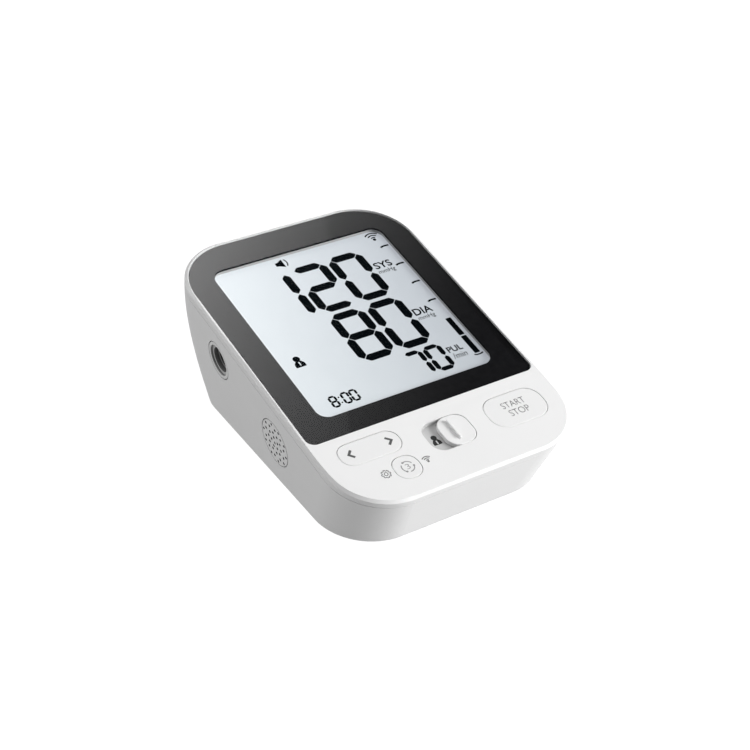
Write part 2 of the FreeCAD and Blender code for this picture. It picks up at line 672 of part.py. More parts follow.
nodes["lcd_frame"] = on_panel(lcd_frame)

# --------------------------------------------------------------------- board
board_half = BOARD_WIDTH / 2
board = plate(-board_half, board_half, BOARD_FRONT, BOARD_REAR, BOARD_CORNER, BOARD_CORNER,
              -BOARD_BOTTOM, -BOARD_TOP)
board = board.fuse(box(-BOARD_NOSE_WIDTH / 2, BOARD_NOSE_WIDTH / 2, BOARD_NOSE_FRONT, 0,
                       -BOARD_BOTTOM, -BOARD_TOP)).removeSplitter()
notch_depth, notch_room = JACK_NOTCH
notch_half = JACK_BODY_RADIUS + notch_room
board = board.cut(box(-BIG, -board_half + notch_depth, JACK_AT[0] - notch_half,
                      JACK_AT[0] + notch_half, -BIG, 0))
for u in mirror_pair(boss_u):
    board = board.cut(rod(V(u, boss_v, -BIG), V(0, 0, 1), CASE_TOWER_RADIUS + BOARD_ROOM, 2 * BIG))
board_screws = []
for u in mirror_pair(BOARD_POST_U):
    for v in BOARD_POST_V:
        board = board.cut(rod(V(u, v, -BOARD_BOTTOM - PAST), V(0, 0, 1), BOARD_SCREW_RADIUS + FIT,
                              BOARD_THICKNESS + 2 * PAST))
        shank = rod(V(u, v, -BOARD_BOTTOM), V(0, 0, 1), BOARD_SCREW_RADIUS,
                    BOARD_THICKNESS + BOARD_SCREW_REACH)
        head_radius, head_height = BOARD_SCREW_HEAD
        head = rod(V(u, v, -BOARD_BOTTOM - head_height), V(0, 0, 1), head_radius, head_height)
        slot_cut = box(u - head_radius, u + head_radius, v - BOARD_SCREW_SLOT / 2,
                       v + BOARD_SCREW_SLOT / 2, -BOARD_BOTTOM - head_height - PAST,
                       -BOARD_BOTTOM - head_height / 2)
        board_screws.append(on_panel(shank.fuse(head).cut(slot_cut).removeSplitter()))
nodes["main_board"] = on_panel(board)
nodes["board_screws"] = Part.makeCompound(board_screws)



def under_board(u, v, width, length, height):
    """Block on the underside of the board, centred on u, v."""
    return on_panel(box(u - width / 2, u + width / 2, v - length / 2, v + length / 2,
                        -BOARD_BOTTOM - height, -BOARD_BOTTOM))


nodes["board_chips"] = Part.makeCompound([under_board(*chip) for chip in BOARD_CHIPS])
nodes["radio_module"] = under_board(*RADIO_MODULE)

# ------------------------------------------------------------------ controls
switch_at = [START_CENTRE, AVERAGE_CENTRE, (rocker_u - ROCKER_ARM, rocker_v),
             (rocker_u + ROCKER_ARM, rocker_v)]
switches = []
domes = []
for u, v in switch_at:
    half = SWITCH_BODY / 2
    housing = box(u - half, u + half, v - half, v + half, -BOARD_TOP, -BOARD_TOP + SWITCH_HEIGHT)
    well_floor = -BOARD_TOP + SWITCH_FLOOR
    well = rod(V(u, v, well_floor), V(0, 0, 1), SWITCH_BORE, SWITCH_HEIGHT)
    switches.append(on_panel(housing.cut(well)))
    domes.append(on_panel(rod(V(u, v, well_floor), V(0, 0, 1), SWITCH_BORE - DOME_GAP,
                              DOME_THICKNESS)))
nodes["push_switches"] = Part.makeCompound(switches)
nodes["switch_domes"] = Part.makeCompound(domes)


def soft_cap(centre, size, bottom, top):
    """Button cap whose top edge is rounded."""
    cap = pad(centre, size, 0, bottom, top)
    rim = edges_near(cap, lambda point: abs(point.z - top) < 0.01)
    return cap.makeFillet(BUTTON_EDGE_ROUND, rim)


def press_button(centre, size):
    """Cap, flange that holds it under the panel, and the stem above its switch."""
    cap = soft_cap(centre, size, -TOP_WALL - ROOT, 0)
    flange = pad(centre, size, FLANGE_MARGIN, -TOP_WALL - FLANGE_THICKNESS, -TOP_WALL)
    stem = rod(V(centre[0], centre[1], -STEM_TIP), V(0, 0, 1), STEM_RADIUS, STEM_TIP - TOP_WALL)
    return on_panel(fuse([cap, flange, stem]))


nodes["start_stop_button"] = press_button(START_CENTRE, START_SIZE)
nodes["average_button"] = press_button(AVERAGE_CENTRE, AVERAGE_SIZE)

rocker_cap = soft_cap(ROCKER_CENTRE, ROCKER_SIZE, -ROCKER_CAP, 0)
web_half = ROCKER_ARM + ROCKER_STEM_RADIUS
rocker_web = box(rocker_u - web_half, rocker_u + web_half, rocker_v - ROCKER_STEM_RADIUS,
                 rocker_v + ROCKER_STEM_RADIUS, -ROCKER_PIVOT_DEPTH, -ROCKER_CAP)
rocker_core = box(rocker_u - ROCKER_PIN_RADIUS, rocker_u + ROCKER_PIN_RADIUS,
                  rocker_v - rocker_half_v, rocker_v + rocker_half_v, -ROCKER_PIVOT_DEPTH,
                  -ROCKER_CAP)
rocker_pin = rod(V(rocker_u, rocker_v - lug_reach, -ROCKER_PIVOT_DEPTH), V(0, 1, 0),
                 ROCKER_PIN_RADIUS, 2 * lug_reach)
rocker_parts = [rocker_cap, rocker_web, rocker_core, rocker_pin]
for u in (rocker_u - ROCKER_ARM, rocker_u + ROCKER_ARM):
    rocker_parts.append(rod(V(u, rocker_v, -STEM_TIP), V(0, 0, 1), ROCKER_STEM_RADIUS,
                            STEM_TIP - ROCKER_CAP))
nodes["arrow_rocker"] = on_panel(fuse(rocker_parts))

knob_u = knob_centre_u
knob_v = SLIDER_CENTRE[1]
knob_size = (SLIDER_KNOB_WIDTH, SLIDER_RECESS[1] - 2 * SLIDER_GAP, SLIDER_RECESS[2] - SLIDER_GAP)
knob_bottom = -SLIDER_DEPTH + SLIDER_FLOAT
knob = pad((knob_u, knob_v), knob_size, 0, knob_bottom, 0)
knob_low = edges_near(knob, lambda point: abs(point.z - knob_bottom) < 0.01)
knob = knob.makeChamfer(SLIDER_SOFT, knob_low)
knob_rim = edges_near(knob, lambda point: abs(point.z) < 0.01)
knob = knob.makeFillet(BUTTON_EDGE_ROUND, knob_rim)
rib_u = knob_u + SLIDER_RIB_U
rib_size = (SLIDER_RIB[0], SLIDER_RIB[1], SLIDER_RIB[0] / 2 - FIT)
rib = pad((rib_u, knob_v), rib_size, 0, -ROOT, SLIDER_RIB[2])
rib_rim = edges_near(rib, lambda point: abs(point.z - SLIDER_RIB[2]) < 0.01)
rib = rib.makeFillet(BUTTON_EDGE_ROUND, rib_rim)
stem_bottom = slider_floor + SLIDER_RETAINER[2] + SLIDER_STEM_LENGTH
slider_stem = box(stem_u - stem_half_u, stem_u + stem_half_u, knob_v - stem_half_v,
                  knob_v + stem_half_v, -stem_bottom, knob_bottom + ROOT)
lever_half_u = LEVER_SIZE[0] / 2
lever_half_v = LEVER_SIZE[1] / 2
lever_top = -stem_bottom + LEVER_GRIP
lever_pocket = box(stem_u - lever_half_u - FIT, stem_u + lever_half_u + FIT,
                   knob_v - lever_half_v - FIT, knob_v + lever_half_v + FIT,
                   -stem_bottom - PAST, lever_top)
nodes["user_slider"] = on_panel(fuse([knob, rib, slider_stem]).cut(lever_pocket))
retainer_top = -slider_floor - SLIDER_FLOAT
retainer = box(stem_u - SLIDER_RETAINER[0] / 2, stem_u + SLIDER_RETAINER[0] / 2,
               knob_v - SLIDER_RETAINER[1] / 2, knob_v + SLIDER_RETAINER[1] / 2,
               retainer_top - SLIDER_RETAINER[2], retainer_top)
retainer = retainer.cut(box(stem_u - stem_half_u - FIT, stem_u + stem_half_u + FIT,
                            knob_v - stem_half_v - FIT, knob_v + stem_half_v + FIT, -BIG, 0))
nodes["slider_retainer"] = on_panel(retainer)
switch_mid_u = stem_u - slider_travel / 2
switch_top = -BOARD_TOP + SLIDE_SWITCH[2]
slide_switch = box(switch_mid_u - SLIDE_SWITCH[0] / 2, switch_mid_u + SLIDE_SWITCH[0] / 2,
                   knob_v - SLIDE_SWITCH[1] / 2, knob_v + SLIDE_SWITCH[1] / 2, -BOARD_TOP,
                   switch_top)
lever_bottom = -BOARD_TOP + LEVER_FLOOR
slide_switch = slide_switch.cut(box(stem_u - slider_travel - lever_half_u - LEVER_GAP[0],
                                    stem_u + lever_half_u + LEVER_GAP[0],
                                    knob_v - lever_half_v - LEVER_GAP[1],
                                    knob_v + lever_half_v + LEVER_GAP[1], lever_bottom, 0))
nodes["slide_switch"] = on_panel(slide_switch)
nodes["slide_switch_lever"] = on_panel(box(stem_u - lever_half_u, stem_u + lever_half_u,
                                           knob_v - lever_half_v, knob_v + lever_half_v,
                                           lever_bottom, lever_top))

# ------------------------------------------------------ left wall: air jack
shoulder = -JACK_SHOULDER
bore_top = -JACK_STEPS[-1][1]
bore_end = bore_top - JACK_BORE_LENGTH
barrel_end = bore_end - JACK_FLOOR
barb_end = barrel_end - BARB_LENGTH
jack = fuse([wall_rod(JACK_FLANGE[0], -JACK_FLANGE[1], 0), wall_rod(JACK_BODY_RADIUS, shoulder, 0),
             wall_rod(JACK_BARREL_RADIUS, barrel_end, 0), wall_rod(BARB_RADIUS, barb_end, 0)])
jack_cuts = [wall_rod(JACK_BORE_RADIUS, bore_end, PAST), wall_rod(BARB_BORE, barb_end - PAST, PAST)]
for radius, depth in JACK_STEPS:
    jack_cuts.append(wall_rod(radius, -depth, PAST))
jack = cut(jack, jack_cuts)
jack_rims = []
for edge in jack.Edges:
    if abs(edge.BoundBox.ZMax) < 0.01 and abs(edge.BoundBox.ZMin) < 0.01:
        jack_rims.append(edge)
jack = jack.makeFillet(JACK_RIM_ROUND, jack_rims)
nodes["air_jack"] = on_wall(JACK_AT, jack)

# ------------------------------------------------ left wall: speaker and grille
grille = wall_rod(GRILLE_RADIUS, -GRILLE_THICKNESS, 0)
grille = grille.makeChamfer(GRILLE_CHAMFER, edges_near(grille, lambda point: abs(point.z) < 0.01))
grille_holes = []
for ring_radius, count, first_angle in GRILLE_RINGS:
    for i in range(count):
        angle = math.radians(first_angle + 360.0 * i / count)
        centre = V(ring_radius * math.cos(angle), ring_radius * math.sin(angle),
                   -GRILLE_THICKNESS - PAST)
        grille_holes.append(rod(centre, V(0, 0, 1), GRILLE_HOLE_RADIUS,
                                GRILLE_THICKNESS + 2 * PAST))
grille = grille.cut(Part.makeCompound(grille_holes))
nodes["speaker_grille"] = on_wall(GRILLE_AT, grille)
speaker_front = -WALL - GASKET_THICKNESS
speaker_back = speaker_front - SPEAKER_DEPTH
cone_back = speaker_back + BASKET_BACK
basket = wall_rod(SPEAKER_RADIUS, speaker_back, speaker_front)
basket = basket.cut(wall_rod(CONE_RADIUS + CONE_GAP, cone_back, PAST))
nodes["speaker_basket"] = on_wall(GRILLE_AT, basket)
cone = Part.makeCone(CONE_THROAT_RADIUS, CONE_RADIUS, CONE_DEPTH, V(0, 0, cone_back), V(0, 0, 1))
cone = cone.cut(Part.makeCone(CONE_THROAT_RADIUS - CONE_WALL, CONE_RADIUS - CONE_WALL, CONE_DEPTH,
                              V(0, 0, cone_back + CONE_WALL), V(0, 0, 1)))
nodes["speaker_cone"] = on_wall(GRILLE_AT, cone)
magnet = wall_rod(MAGNET_RADIUS, speaker_back - MAGNET_DEPTH, speaker_back)
nodes["speaker_magnet"] = on_wall(GRILLE_AT, magnet)
collar = wall_rod(SPEAKER_RADIUS + COLLAR_WALL, -WALL - COLLAR_DEPTH,
                  -GRILLE_THICKNESS - COLLAR_SETBACK)
collar = collar.cut(wall_rod(SPEAKER_RADIUS + FIT, -BIG, PAST))
collar = on_wall(GRILLE_AT, collar).common(panel_slab(-BIG, -BOARD_BOTTOM - BOARD_ROOM))
nodes["lower_case"] = fuse([nodes["lower_case"], collar])
gasket = wall_rod(SPEAKER_RADIUS, speaker_front, -WALL)
gasket = gasket.cut(wall_rod(SPEAKER_RADIUS - GASKET_WIDTH, -BIG, PAST))
nodes["speaker_gasket"] = on_wall(GRILLE_AT, gasket)

# ----------------------------------------------------------------- batteries
def cell_y(index):
    """Middle of a cell, counted from the front of the bay."""
    return BAY_FRONT + BAY_SPARE / 2 + CELL_PITCH * (index + 0.5)


cells = []
springs = []
contacts = []
inner_half = bay_half - CONTACT_THICKNESS
for i in range(CELL_COUNT):
    y = cell_y(i)
    facing = 1 if i % 2 == 0 else -1
    tip_radius, tip_length = CELL_TIP
    tip_end = facing * inner_half
    can_length = CELL_LENGTH - tip_length
    can = rod(V(tip_end - facing * tip_length, y, cell_z), V(-facing, 0, 0), CELL_RADIUS, can_length)
    tip = rod(V(tip_end - facing * tip_length, y, cell_z), V(facing, 0, 0), tip_radius, tip_length)
    cells.append(can.fuse(tip))
    helix = Part.makeHelix(SPRING_PITCH, SPRING_LENGTH - 2 * SPRING_WIRE, SPRING_RADIUS)
    ring = Part.Wire([Part.makeCircle(SPRING_WIRE, V(SPRING_RADIUS, 0, 0), V(0, 1, 0))])
    coil = Part.Wire(helix.Edges).makePipeShell([ring], True, True)
    turn = FreeCAD.Rotation(V(0, 0, 1), V(facing, 0, 0))
    coil.Placement = FreeCAD.Placement(V(-facing * (inner_half - SPRING_WIRE), y, cell_z), turn)
    springs.append(coil)
nodes["battery_cells"] = Part.makeCompound(cells)
nodes["battery_springs"] = Part.makeCompound(springs)


def contact_plate(side, first_cell, last_cell):
    """Metal plate on one end wall of the bay, joining one cell or two."""
    y0 = cell_y(first_cell) - CONTACT_SIZE / 2
    y1 = cell_y(last_cell) + CONTACT_SIZE / 2
    x0, x1 = sorted((side * inner_half, side * bay_half))
    return box(x0, x1, y0, y1, cell_z - CONTACT_SIZE / 2, cell_z + CONTACT_SIZE / 2)


for side, first_cell, last_cell in ((1, 0, 1), (1, 2, 3), (-1, 0, 0), (-1, 1, 2), (-1, 3, 3)):
    contacts.append(contact_plate(side, first_cell, last_cell))
nodes["battery_contacts"] = Part.makeCompound(contacts)

door_x = bay_half + DOOR_LEDGE - DOOR_GAP
door_y0 = BAY_FRONT - DOOR_LEDGE + DOOR_GAP
door_y1 = BAY_REAR + DOOR_LEDGE - DOOR_GAP
door = box(-door_x, door_x, door_y0, door_y1, 0, DOOR_THICKNESS)
upright = [edge for edge in door.Edges if edge.BoundBox.ZLength > DOOR_THICKNESS / 2]
door = door.makeFillet(DOOR_CORNER, upright)


def bay_block(inset, z0, z1):
    """Block inside the bay's walls, moved in by inset."""
    return box(-bay_half + inset, bay_half - inset, BAY_FRONT + inset, BAY_REAR - inset, z0, z1)


rim = bay_block(DOOR_GAP, DOOR_THICKNESS / 2, DOOR_THICKNESS + DOOR_SHELF)
rim = rim.cut(bay_block(DOOR_GAP + DOOR_RIM, -PAST, DOOR_THICKNESS + DOOR_SHELF + PAST))
door = door.fuse(rim)
latch_width, latch_length, latch_slot = LATCH
door_top = DOOR_THICKNESS + DOOR_SHELF + PAST
for side in (-1, 1):
    x0, x1 = sorted((side * latch_width / 2, side * (latch_width / 2 + latch_slot)))
    door = door.cut(box(x0, x1, door_y0 - PAST, door_y0 + latch_length, -PAST, door_top))
for i in range(GRIP_COUNT):
    y = door_y0 + GRIP_START + GRIP_PITCH * i
    door = door.cut(box(-GRIP_LENGTH / 2, GRIP_LENGTH / 2, y, y + GRIP_WIDTH, -PAST, GRIP_DEPTH))
nodes["battery_door"] = door.removeSplitter()

# --------------------------------------------------------------- feet, screws
feet = []
for x, y in feet_at:
    foot = rod(V(x, y, -FOOT_PROUD), V(0, 0, 1), FOOT_RADIUS, FOOT_PROUD + FOOT_RECESS)
    foot_edge = edges_near(foot, lambda point: abs(point.z + FOOT_PROUD) < 0.01)
    feet.append(foot.makeFillet(FOOT_PROUD / 2, foot_edge))
nodes["rubber_feet"] = Part.makeCompound(feet)

case_screws = []
for u in mirror_pair(boss_u):
    head_radius, head_height = CASE_SCREW_HEAD
    shank = rod(V(u, boss_v, -case_seat), V(0, 0, 1), CASE_SCREW_RADIUS,
                case_seat - TOP_WALL - CASE_SCREW_STOP)
    head = rod(V(u, boss_v, -case_seat - head_height), V(0, 0, 1), head_radius, head_height)
    screw = shank.fuse(head).removeSplitter()
    for span_u, span_v in (CROSS_SLOT, CROSS_SLOT[::-1]):
        screw = screw.cut(box(u - span_u / 2, u + span_u / 2, boss_v - span_v / 2,
                              boss_v + span_v / 2, -case_seat - head_height - PAST,
                              -case_seat - head_height / 2))
    case_screws.append(on_panel(screw))
nodes["case_screws"] = Part.makeCompound(case_screws)

# ---------------------------------------------------------------- air system
x_axis = V(1, 0, 0)
motor = rod(motor_axis + V(MOTOR_SPAN[0], 0, 0), x_axis, MOTOR_RADIUS, MOTOR_SPAN[1] - MOTOR_SPAN[0])
motor_rim = edges_near(motor, lambda point: abs(point.x - MOTOR_SPAN[0]) < 0.01)
motor = motor.makeFillet(MOTOR_EDGE_ROUND, motor_rim)
shaft_start = MOTOR_SPAN[1] - SHAFT_IN_MOTOR
shaft_bore = SHAFT_RADIUS + SHAFT_CLEARANCE
nodes["pump_motor"] = motor.cut(rod(motor_axis + V(shaft_start - PAST, 0, 0), x_axis, shaft_bore,
                                    SHAFT_IN_MOTOR + 2 * PAST))
head = rod(motor_axis + V(HEAD_SPAN[0], 0, 0), x_axis, HEAD_RADIUS, HEAD_SPAN[1] - HEAD_SPAN[0])
head_rim = edges_near(head, lambda point: abs(point.x - HEAD_SPAN[1]) < 0.01)
head = head.makeFillet(HEAD_EDGE_ROUND, head_rim)
nozzle_root = V(PUMP_NOZZLE_X, PUMP_CENTRE_Y, PUMP_CENTRE_Z + HEAD_CAVITY_RADIUS + PAST)
nozzle_tip = PUMP_CENTRE_Z + HEAD_RADIUS + NOZZLE_LENGTH
nozzle = rod(nozzle_root, V(0, 0, 1), NOZZLE_RADIUS, nozzle_tip - nozzle_root.z)
head = head.fuse(nozzle).removeSplitter()
head = cut(head, [
    rod(motor_axis + V(HEAD_SPAN[0] + HEAD_WALL, 0, 0), x_axis, HEAD_CAVITY_RADIUS,
        HEAD_CAVITY_LENGTH),
    rod(motor_axis + V(HEAD_SPAN[0] - PAST, 0, 0), x_axis, shaft_bore, HEAD_WALL + 2 * PAST),
    rod(nozzle_root - V(0, 0, 2 * PAST), V(0, 0, 1), NOZZLE_BORE,
        nozzle_tip - nozzle_root.z + 3 * PAST),
])
nodes["pump_head"] = head
crank = fuse([
    rod(motor_axis + V(shaft_start, 0, 0), x_axis, SHAFT_RADIUS, CRANK_SPAN[1] - shaft_start),
    rod(motor_axis + V(CRANK_SPAN[0], 0, CRANK_OFFSET), x_axis, CRANK_RADIUS,
        CRANK_SPAN[1] - CRANK_SPAN[0]),
])
nodes["pump_crank"] = crank
sleeve = hollow_rod(motor_axis + V(SLEEVE_SPAN[0], 0, 0), x_axis, sleeve_radius, MOTOR_RADIUS,
                    SLEEVE_SPAN[1] - SLEEVE_SPAN[0])
nodes["pump_sleeve"] = sleeve

valve = box(VALVE_X[0], VALVE_X[1], VALVE_Y[0], VALVE_Y[1], WALL, VALVE_TOP)
valve_uprights = [edge for edge in valve.Edges if edge.BoundBox.ZLength > PAST]
valve = valve.makeFillet(VALVE_EDGE_ROUND, valve_uprights)
valve_x = (VALVE_X[0] + VALVE_X[1]) / 2
valve_root = V(valve_x, VALVE_Y[0] + PAST, VALVE_NOZZLE_Z)
valve_nozzle = rod(valve_root, V(0, -1, 0), NOZZLE_RADIUS, NOZZLE_LENGTH + PAST)
valve = valve.fuse(valve_nozzle).removeSplitter()
valve = valve.cut(rod(V(valve_x, VALVE_Y[0] - NOZZLE_LENGTH - PAST, VALVE_NOZZLE_Z), V(0, 1, 0),
                      NOZZLE_BORE, NOZZLE_LENGTH + VALVE_BORE_DEPTH))
nodes["exhaust_valve"] = valve

sensor_w = -BOARD_BOTTOM - SENSOR_THICKNESS / 2
sensor = box(SENSOR_U - SENSOR_WIDTH / 2, SENSOR_U + SENSOR_WIDTH / 2, SENSOR_V[0], SENSOR_V[1],
             -BOARD_BOTTOM - SENSOR_THICKNESS, -BOARD_BOTTOM)
sensor_nozzle = rod(V(SENSOR_U, SENSOR_V[1] - PAST, sensor_w), V(0, 1, 0), NOZZLE_RADIUS,
                    SENSOR_PORT + PAST)
sensor = sensor.fuse(sensor_nozzle).removeSplitter()
sensor = sensor.cut(rod(V(SENSOR_U, SENSOR_V[1] - SENSOR_BORE_DEPTH, sensor_w), V(0, 1, 0),
                        NOZZLE_BORE, SENSOR_PORT + SENSOR_BORE_DEPTH + PAST))
nodes["pressure_sensor"] = on_panel(sensor)

manifold_left = V(MANIFOLD_SPAN[0], MANIFOLD_Y, MANIFOLD_Z)
manifold_length = MANIFOLD_SPAN[1] - MANIFOLD_SPAN[0]
sensor_port = V(MANIFOLD_SENSOR_X, MANIFOLD_Y, MANIFOLD_Z)
valve_port = V(MANIFOLD_VALVE_X, MANIFOLD_Y, MANIFOLD_Z)
port_reach = MANIFOLD_RADIUS + MANIFOLD_PORT
manifold = fuse([
    rod(manifold_left, x_axis, MANIFOLD_RADIUS, manifold_length),
    rod(manifold_left - V(MANIFOLD_PORT, 0, 0), x_axis, NOZZLE_RADIUS,
        manifold_length + 2 * MANIFOLD_PORT),
    rod(sensor_port, V(0, -1, 0), NOZZLE_RADIUS, port_reach),
    rod(valve_port, V(0, 0, -1), NOZZLE_RADIUS, port_reach),
])
manifold = cut(manifold, [
    rod(manifold_left - V(MANIFOLD_PORT + PAST, 0, 0), x_axis, NOZZLE_BORE,
        manifold_length + 2 * (MANIFOLD_PORT + PAST)),
    rod(sensor_port, V(0, -1, 0), NOZZLE_BORE, port_reach + PAST),
    rod(valve_port, V(0, 0, -1), NOZZLE_BORE, port_reach + PAST),
])
nodes["air_manifold"] = manifold

tube_bore = NOZZLE_RADIUS + TUBE_FIT
wall_frame = wall_placement(JACK_AT)
jack_in = wall_frame.Rotation.multVec(V(0, 0, -1))
jack_tip = wall_frame.multVec(V(0, 0, barb_end))
jack_start = jack_tip - V(jack_in).multiply(TUBE_GRIP)
manifold_left_tip = manifold_left - V(MANIFOLD_PORT, 0, 0)
left_end = manifold_left_tip + V(TUBE_GRIP, 0, 0)
nodes["jack_tube"] = tube([jack_start, left_end], jack_in, V(-1, 0, 0), tube_bore)
manifold_right_tip = manifold_left + V(manifold_length + MANIFOLD_PORT, 0, 0)
right_end = manifold_right_tip - V(TUBE_GRIP, 0, 0)
pump_start = V(PUMP_NOZZLE_X, PUMP_CENTRE_Y, nozzle_tip - TUBE_GRIP)
pump_bend = V(PUMP_NOZZLE_X, PUMP_CENTRE_Y, nozzle_tip) + V(*PUMP_TUBE_BEND)
nodes["pump_tube"] = tube([pump_start, pump_bend, right_end], V(0, 0, 1), x_axis, tube_bore)
valve_end = V(valve_x, VALVE_Y[0] - NOZZLE_LENGTH + TUBE_GRIP, VALVE_NOZZLE_Z)
valve_start = valve_port + V(0, 0, -port_reach + TUBE_GRIP)
valve_bend = V((MANIFOLD_VALVE_X + valve_x) / 2, MANIFOLD_Y + VALVE_TUBE_BEND[0],
               VALVE_NOZZLE_Z + VALVE_TUBE_BEND[1])
nodes["valve_tube"] = tube([valve_start, valve_bend, valve_end], V(0, 0, -1), V(0, -1, 0),
                           tube_bore)
sensor_tip = panel_point(SENSOR_U, SENSOR_V[1] + SENSOR_PORT, sensor_w)
sensor_out = PANEL.Rotation.multVec(V(0, 1, 0))
sensor_start = sensor_tip - V(sensor_out).multiply(TUBE_GRIP)
sensor_end = sensor_port + V(0, -port_reach + TUBE_GRIP, 0)
nodes["sensor_tube"] = tube([sensor_start, sensor_end], sensor_out, V(0, -1, 0), tube_bore)


# --------------------------------------------------------------------- leads
def lead(points, start_direction, end_direction):
    return swept(points, start_direction, end_direction, LEAD_RADIUS, LEAD_LIFT)


down_from_board = PANEL.Rotation.multVec(V(0, 0, -1))
pad_u, pad_back = PUMP_LEAD_PAD
pump_leads = []
for y in (PUMP_CENTRE_Y - PUMP_LEAD_SPREAD, PUMP_CENTRE_Y + PUMP_LEAD_SPREAD):
    terminal = V(MOTOR_SPAN[0], y, PUMP_CENTRE_Z + PUMP_LEAD_RISE)
    pump_leads.append(lead([terminal, panel_point(pad_u, y + pad_back, -BOARD_BOTTOM)],
                           V(-1, 0, 0), down_from_board))
nodes["pump_leads"] = Part.makeCompound(pump_leads)
speaker_leads = []
speaker_frame = wall_placement(GRILLE_AT)
into_case = speaker_frame.Rotation.multVec(V(0, 0, -1))
for offset in (-SPEAKER_LEAD_SPREAD, SPEAKER_LEAD_SPREAD):
    solder_pad = panel_point(SPEAKER_LEAD_PAD_U, GRILLE_AT[0] + offset / 2, -BOARD_BOTTOM)
    speaker_leads.append(lead([speaker_frame.multVec(V(offset, 0, speaker_back)), solder_pad],
                              into_case, down_from_board))
nodes["speaker_leads"] = Part.makeCompound(speaker_leads)
battery_leads = []
for i in range(2):
    x = bay_half - BATTERY_LEAD_INSET - BATTERY_LEAD_PITCH * i
    start = V(x, BAY_REAR + BAY_WALL, bay_top - BATTERY_LEAD_DROP)
    solder_pad = panel_point(x, BAY_REAR + BATTERY_LEAD_PAD, -BOARD_BOTTOM)
    battery_leads.append(lead([start, solder_pad], V(0, 1, 0), down_from_board))
nodes["battery_leads"] = Part.makeCompound(battery_leads)

# -------------------------------------------------- place, tidy and write out
whole = Part.makeCompound([nodes["lower_case"], nodes["upper_case"], nodes["rubber_feet"],
                           nodes["user_slider"]])
bounds = whole.optimalBoundingBox(False, True)
shift = V(-(bounds.XMin + bounds.XMax) / 2, -(bounds.YMin + bounds.YMax) / 2, -bounds.ZMin)
for name, shape in nodes.items():
    placed = shape.copy()
    placed.translate(shift)
    placed.exportStep("parts/" + name + ".step")
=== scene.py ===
import math

import bmesh
import bpy
from mathutils import Matrix, Vector


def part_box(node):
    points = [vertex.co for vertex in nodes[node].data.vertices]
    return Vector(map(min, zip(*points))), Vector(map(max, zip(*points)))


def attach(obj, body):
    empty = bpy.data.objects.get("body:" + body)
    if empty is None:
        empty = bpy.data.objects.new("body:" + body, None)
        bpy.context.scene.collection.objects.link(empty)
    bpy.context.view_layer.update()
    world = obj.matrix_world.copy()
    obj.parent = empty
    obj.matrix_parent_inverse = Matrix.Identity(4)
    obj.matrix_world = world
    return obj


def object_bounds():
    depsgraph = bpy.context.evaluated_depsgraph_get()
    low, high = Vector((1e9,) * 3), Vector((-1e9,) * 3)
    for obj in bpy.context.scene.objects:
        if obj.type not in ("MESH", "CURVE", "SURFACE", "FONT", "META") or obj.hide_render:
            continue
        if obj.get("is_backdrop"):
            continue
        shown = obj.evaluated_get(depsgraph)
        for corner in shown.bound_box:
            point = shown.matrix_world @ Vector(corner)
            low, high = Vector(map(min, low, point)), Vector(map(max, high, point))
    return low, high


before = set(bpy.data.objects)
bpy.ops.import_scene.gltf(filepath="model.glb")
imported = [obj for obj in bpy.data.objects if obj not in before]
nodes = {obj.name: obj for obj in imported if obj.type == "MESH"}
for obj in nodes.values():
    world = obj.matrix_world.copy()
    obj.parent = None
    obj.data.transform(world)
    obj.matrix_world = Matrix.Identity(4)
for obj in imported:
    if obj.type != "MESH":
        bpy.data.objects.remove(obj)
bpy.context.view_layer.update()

# Everything on the sloping top is drawn in the panel frame, in millimetres:
# u to the right, v up the slope from the lens's front edge, w out of the panel.
MM = 0.001
PANEL_TILT = math.radians(12.0)
LENS_THICKNESS = 0.8
lens_low, lens_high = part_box("display_lens")
panel_origin = Vector((0.0, lens_low.y, lens_low.z + LENS_THICKNESS * MM * math.cos(PANEL_TILT)))
PANEL = Matrix.Translation(panel_origin) @ Matrix.Rotation(PANEL_TILT, 4, "X") @ Matrix.Scale(MM, 4)

PRINT_THICKNESS = 0.02

# The case's left wall leans in downwards; depths into it are measured from its face.
CASE_HALF_WIDTH = 50.2
SIDE_DRAFT = 0.117
wall_out = (PANEL.to_3x3() @ Vector((-1.0, 0.0, -SIDE_DRAFT))).normalized()
wall_at = (PANEL @ Vector((-CASE_HALF_WIDTH, 0.0, 0.0))).dot(wall_out)

# Opening under the lens, in u and v.
WINDOW_HALF = 37.7
WINDOW_MIDDLE = 52.0
WINDOW_REACH = 41.9
WINDOW_CORNER = 4.6

# Recess of the slide switch, in u, v and w.
RECESS_MIDDLE_U = 0.4
RECESS_MIDDLE_V = -14.15
RECESS_REACH_U = 11.0
RECESS_REACH_V = 8.0
RECESS_FLOOR = -2.0


def calc(tree, operation, *values):
    """Math node in a tree; each value is a number or a socket."""
    made = tree.nodes.new("ShaderNodeMath")
    made.operation = operation
    for socket, value in zip(made.inputs, values):
        if isinstance(value, bpy.types.NodeSocket):
            tree.links.new(value, socket)
        else:
            socket.default_value = value
    return made.outputs["Value"]


def in_panel(tree, place):
    """u and v in metres, and w, of an object-space point."""
    turned = tree.nodes.new("ShaderNodeMapping")
    turned.vector_type = "TEXTURE"
    turned.inputs["Location"].default_value = panel_origin
    turned.inputs["Rotation"].default_value = (PANEL_TILT, 0.0, 0.0)
    split = tree.nodes.new("ShaderNodeSeparateXYZ")
    tree.links.new(place, turned.inputs["Vector"])
    tree.links.new(turned.outputs["Vector"], split.inputs["Vector"])
    return split.outputs["X"], split.outputs["Y"], split.outputs["Z"]


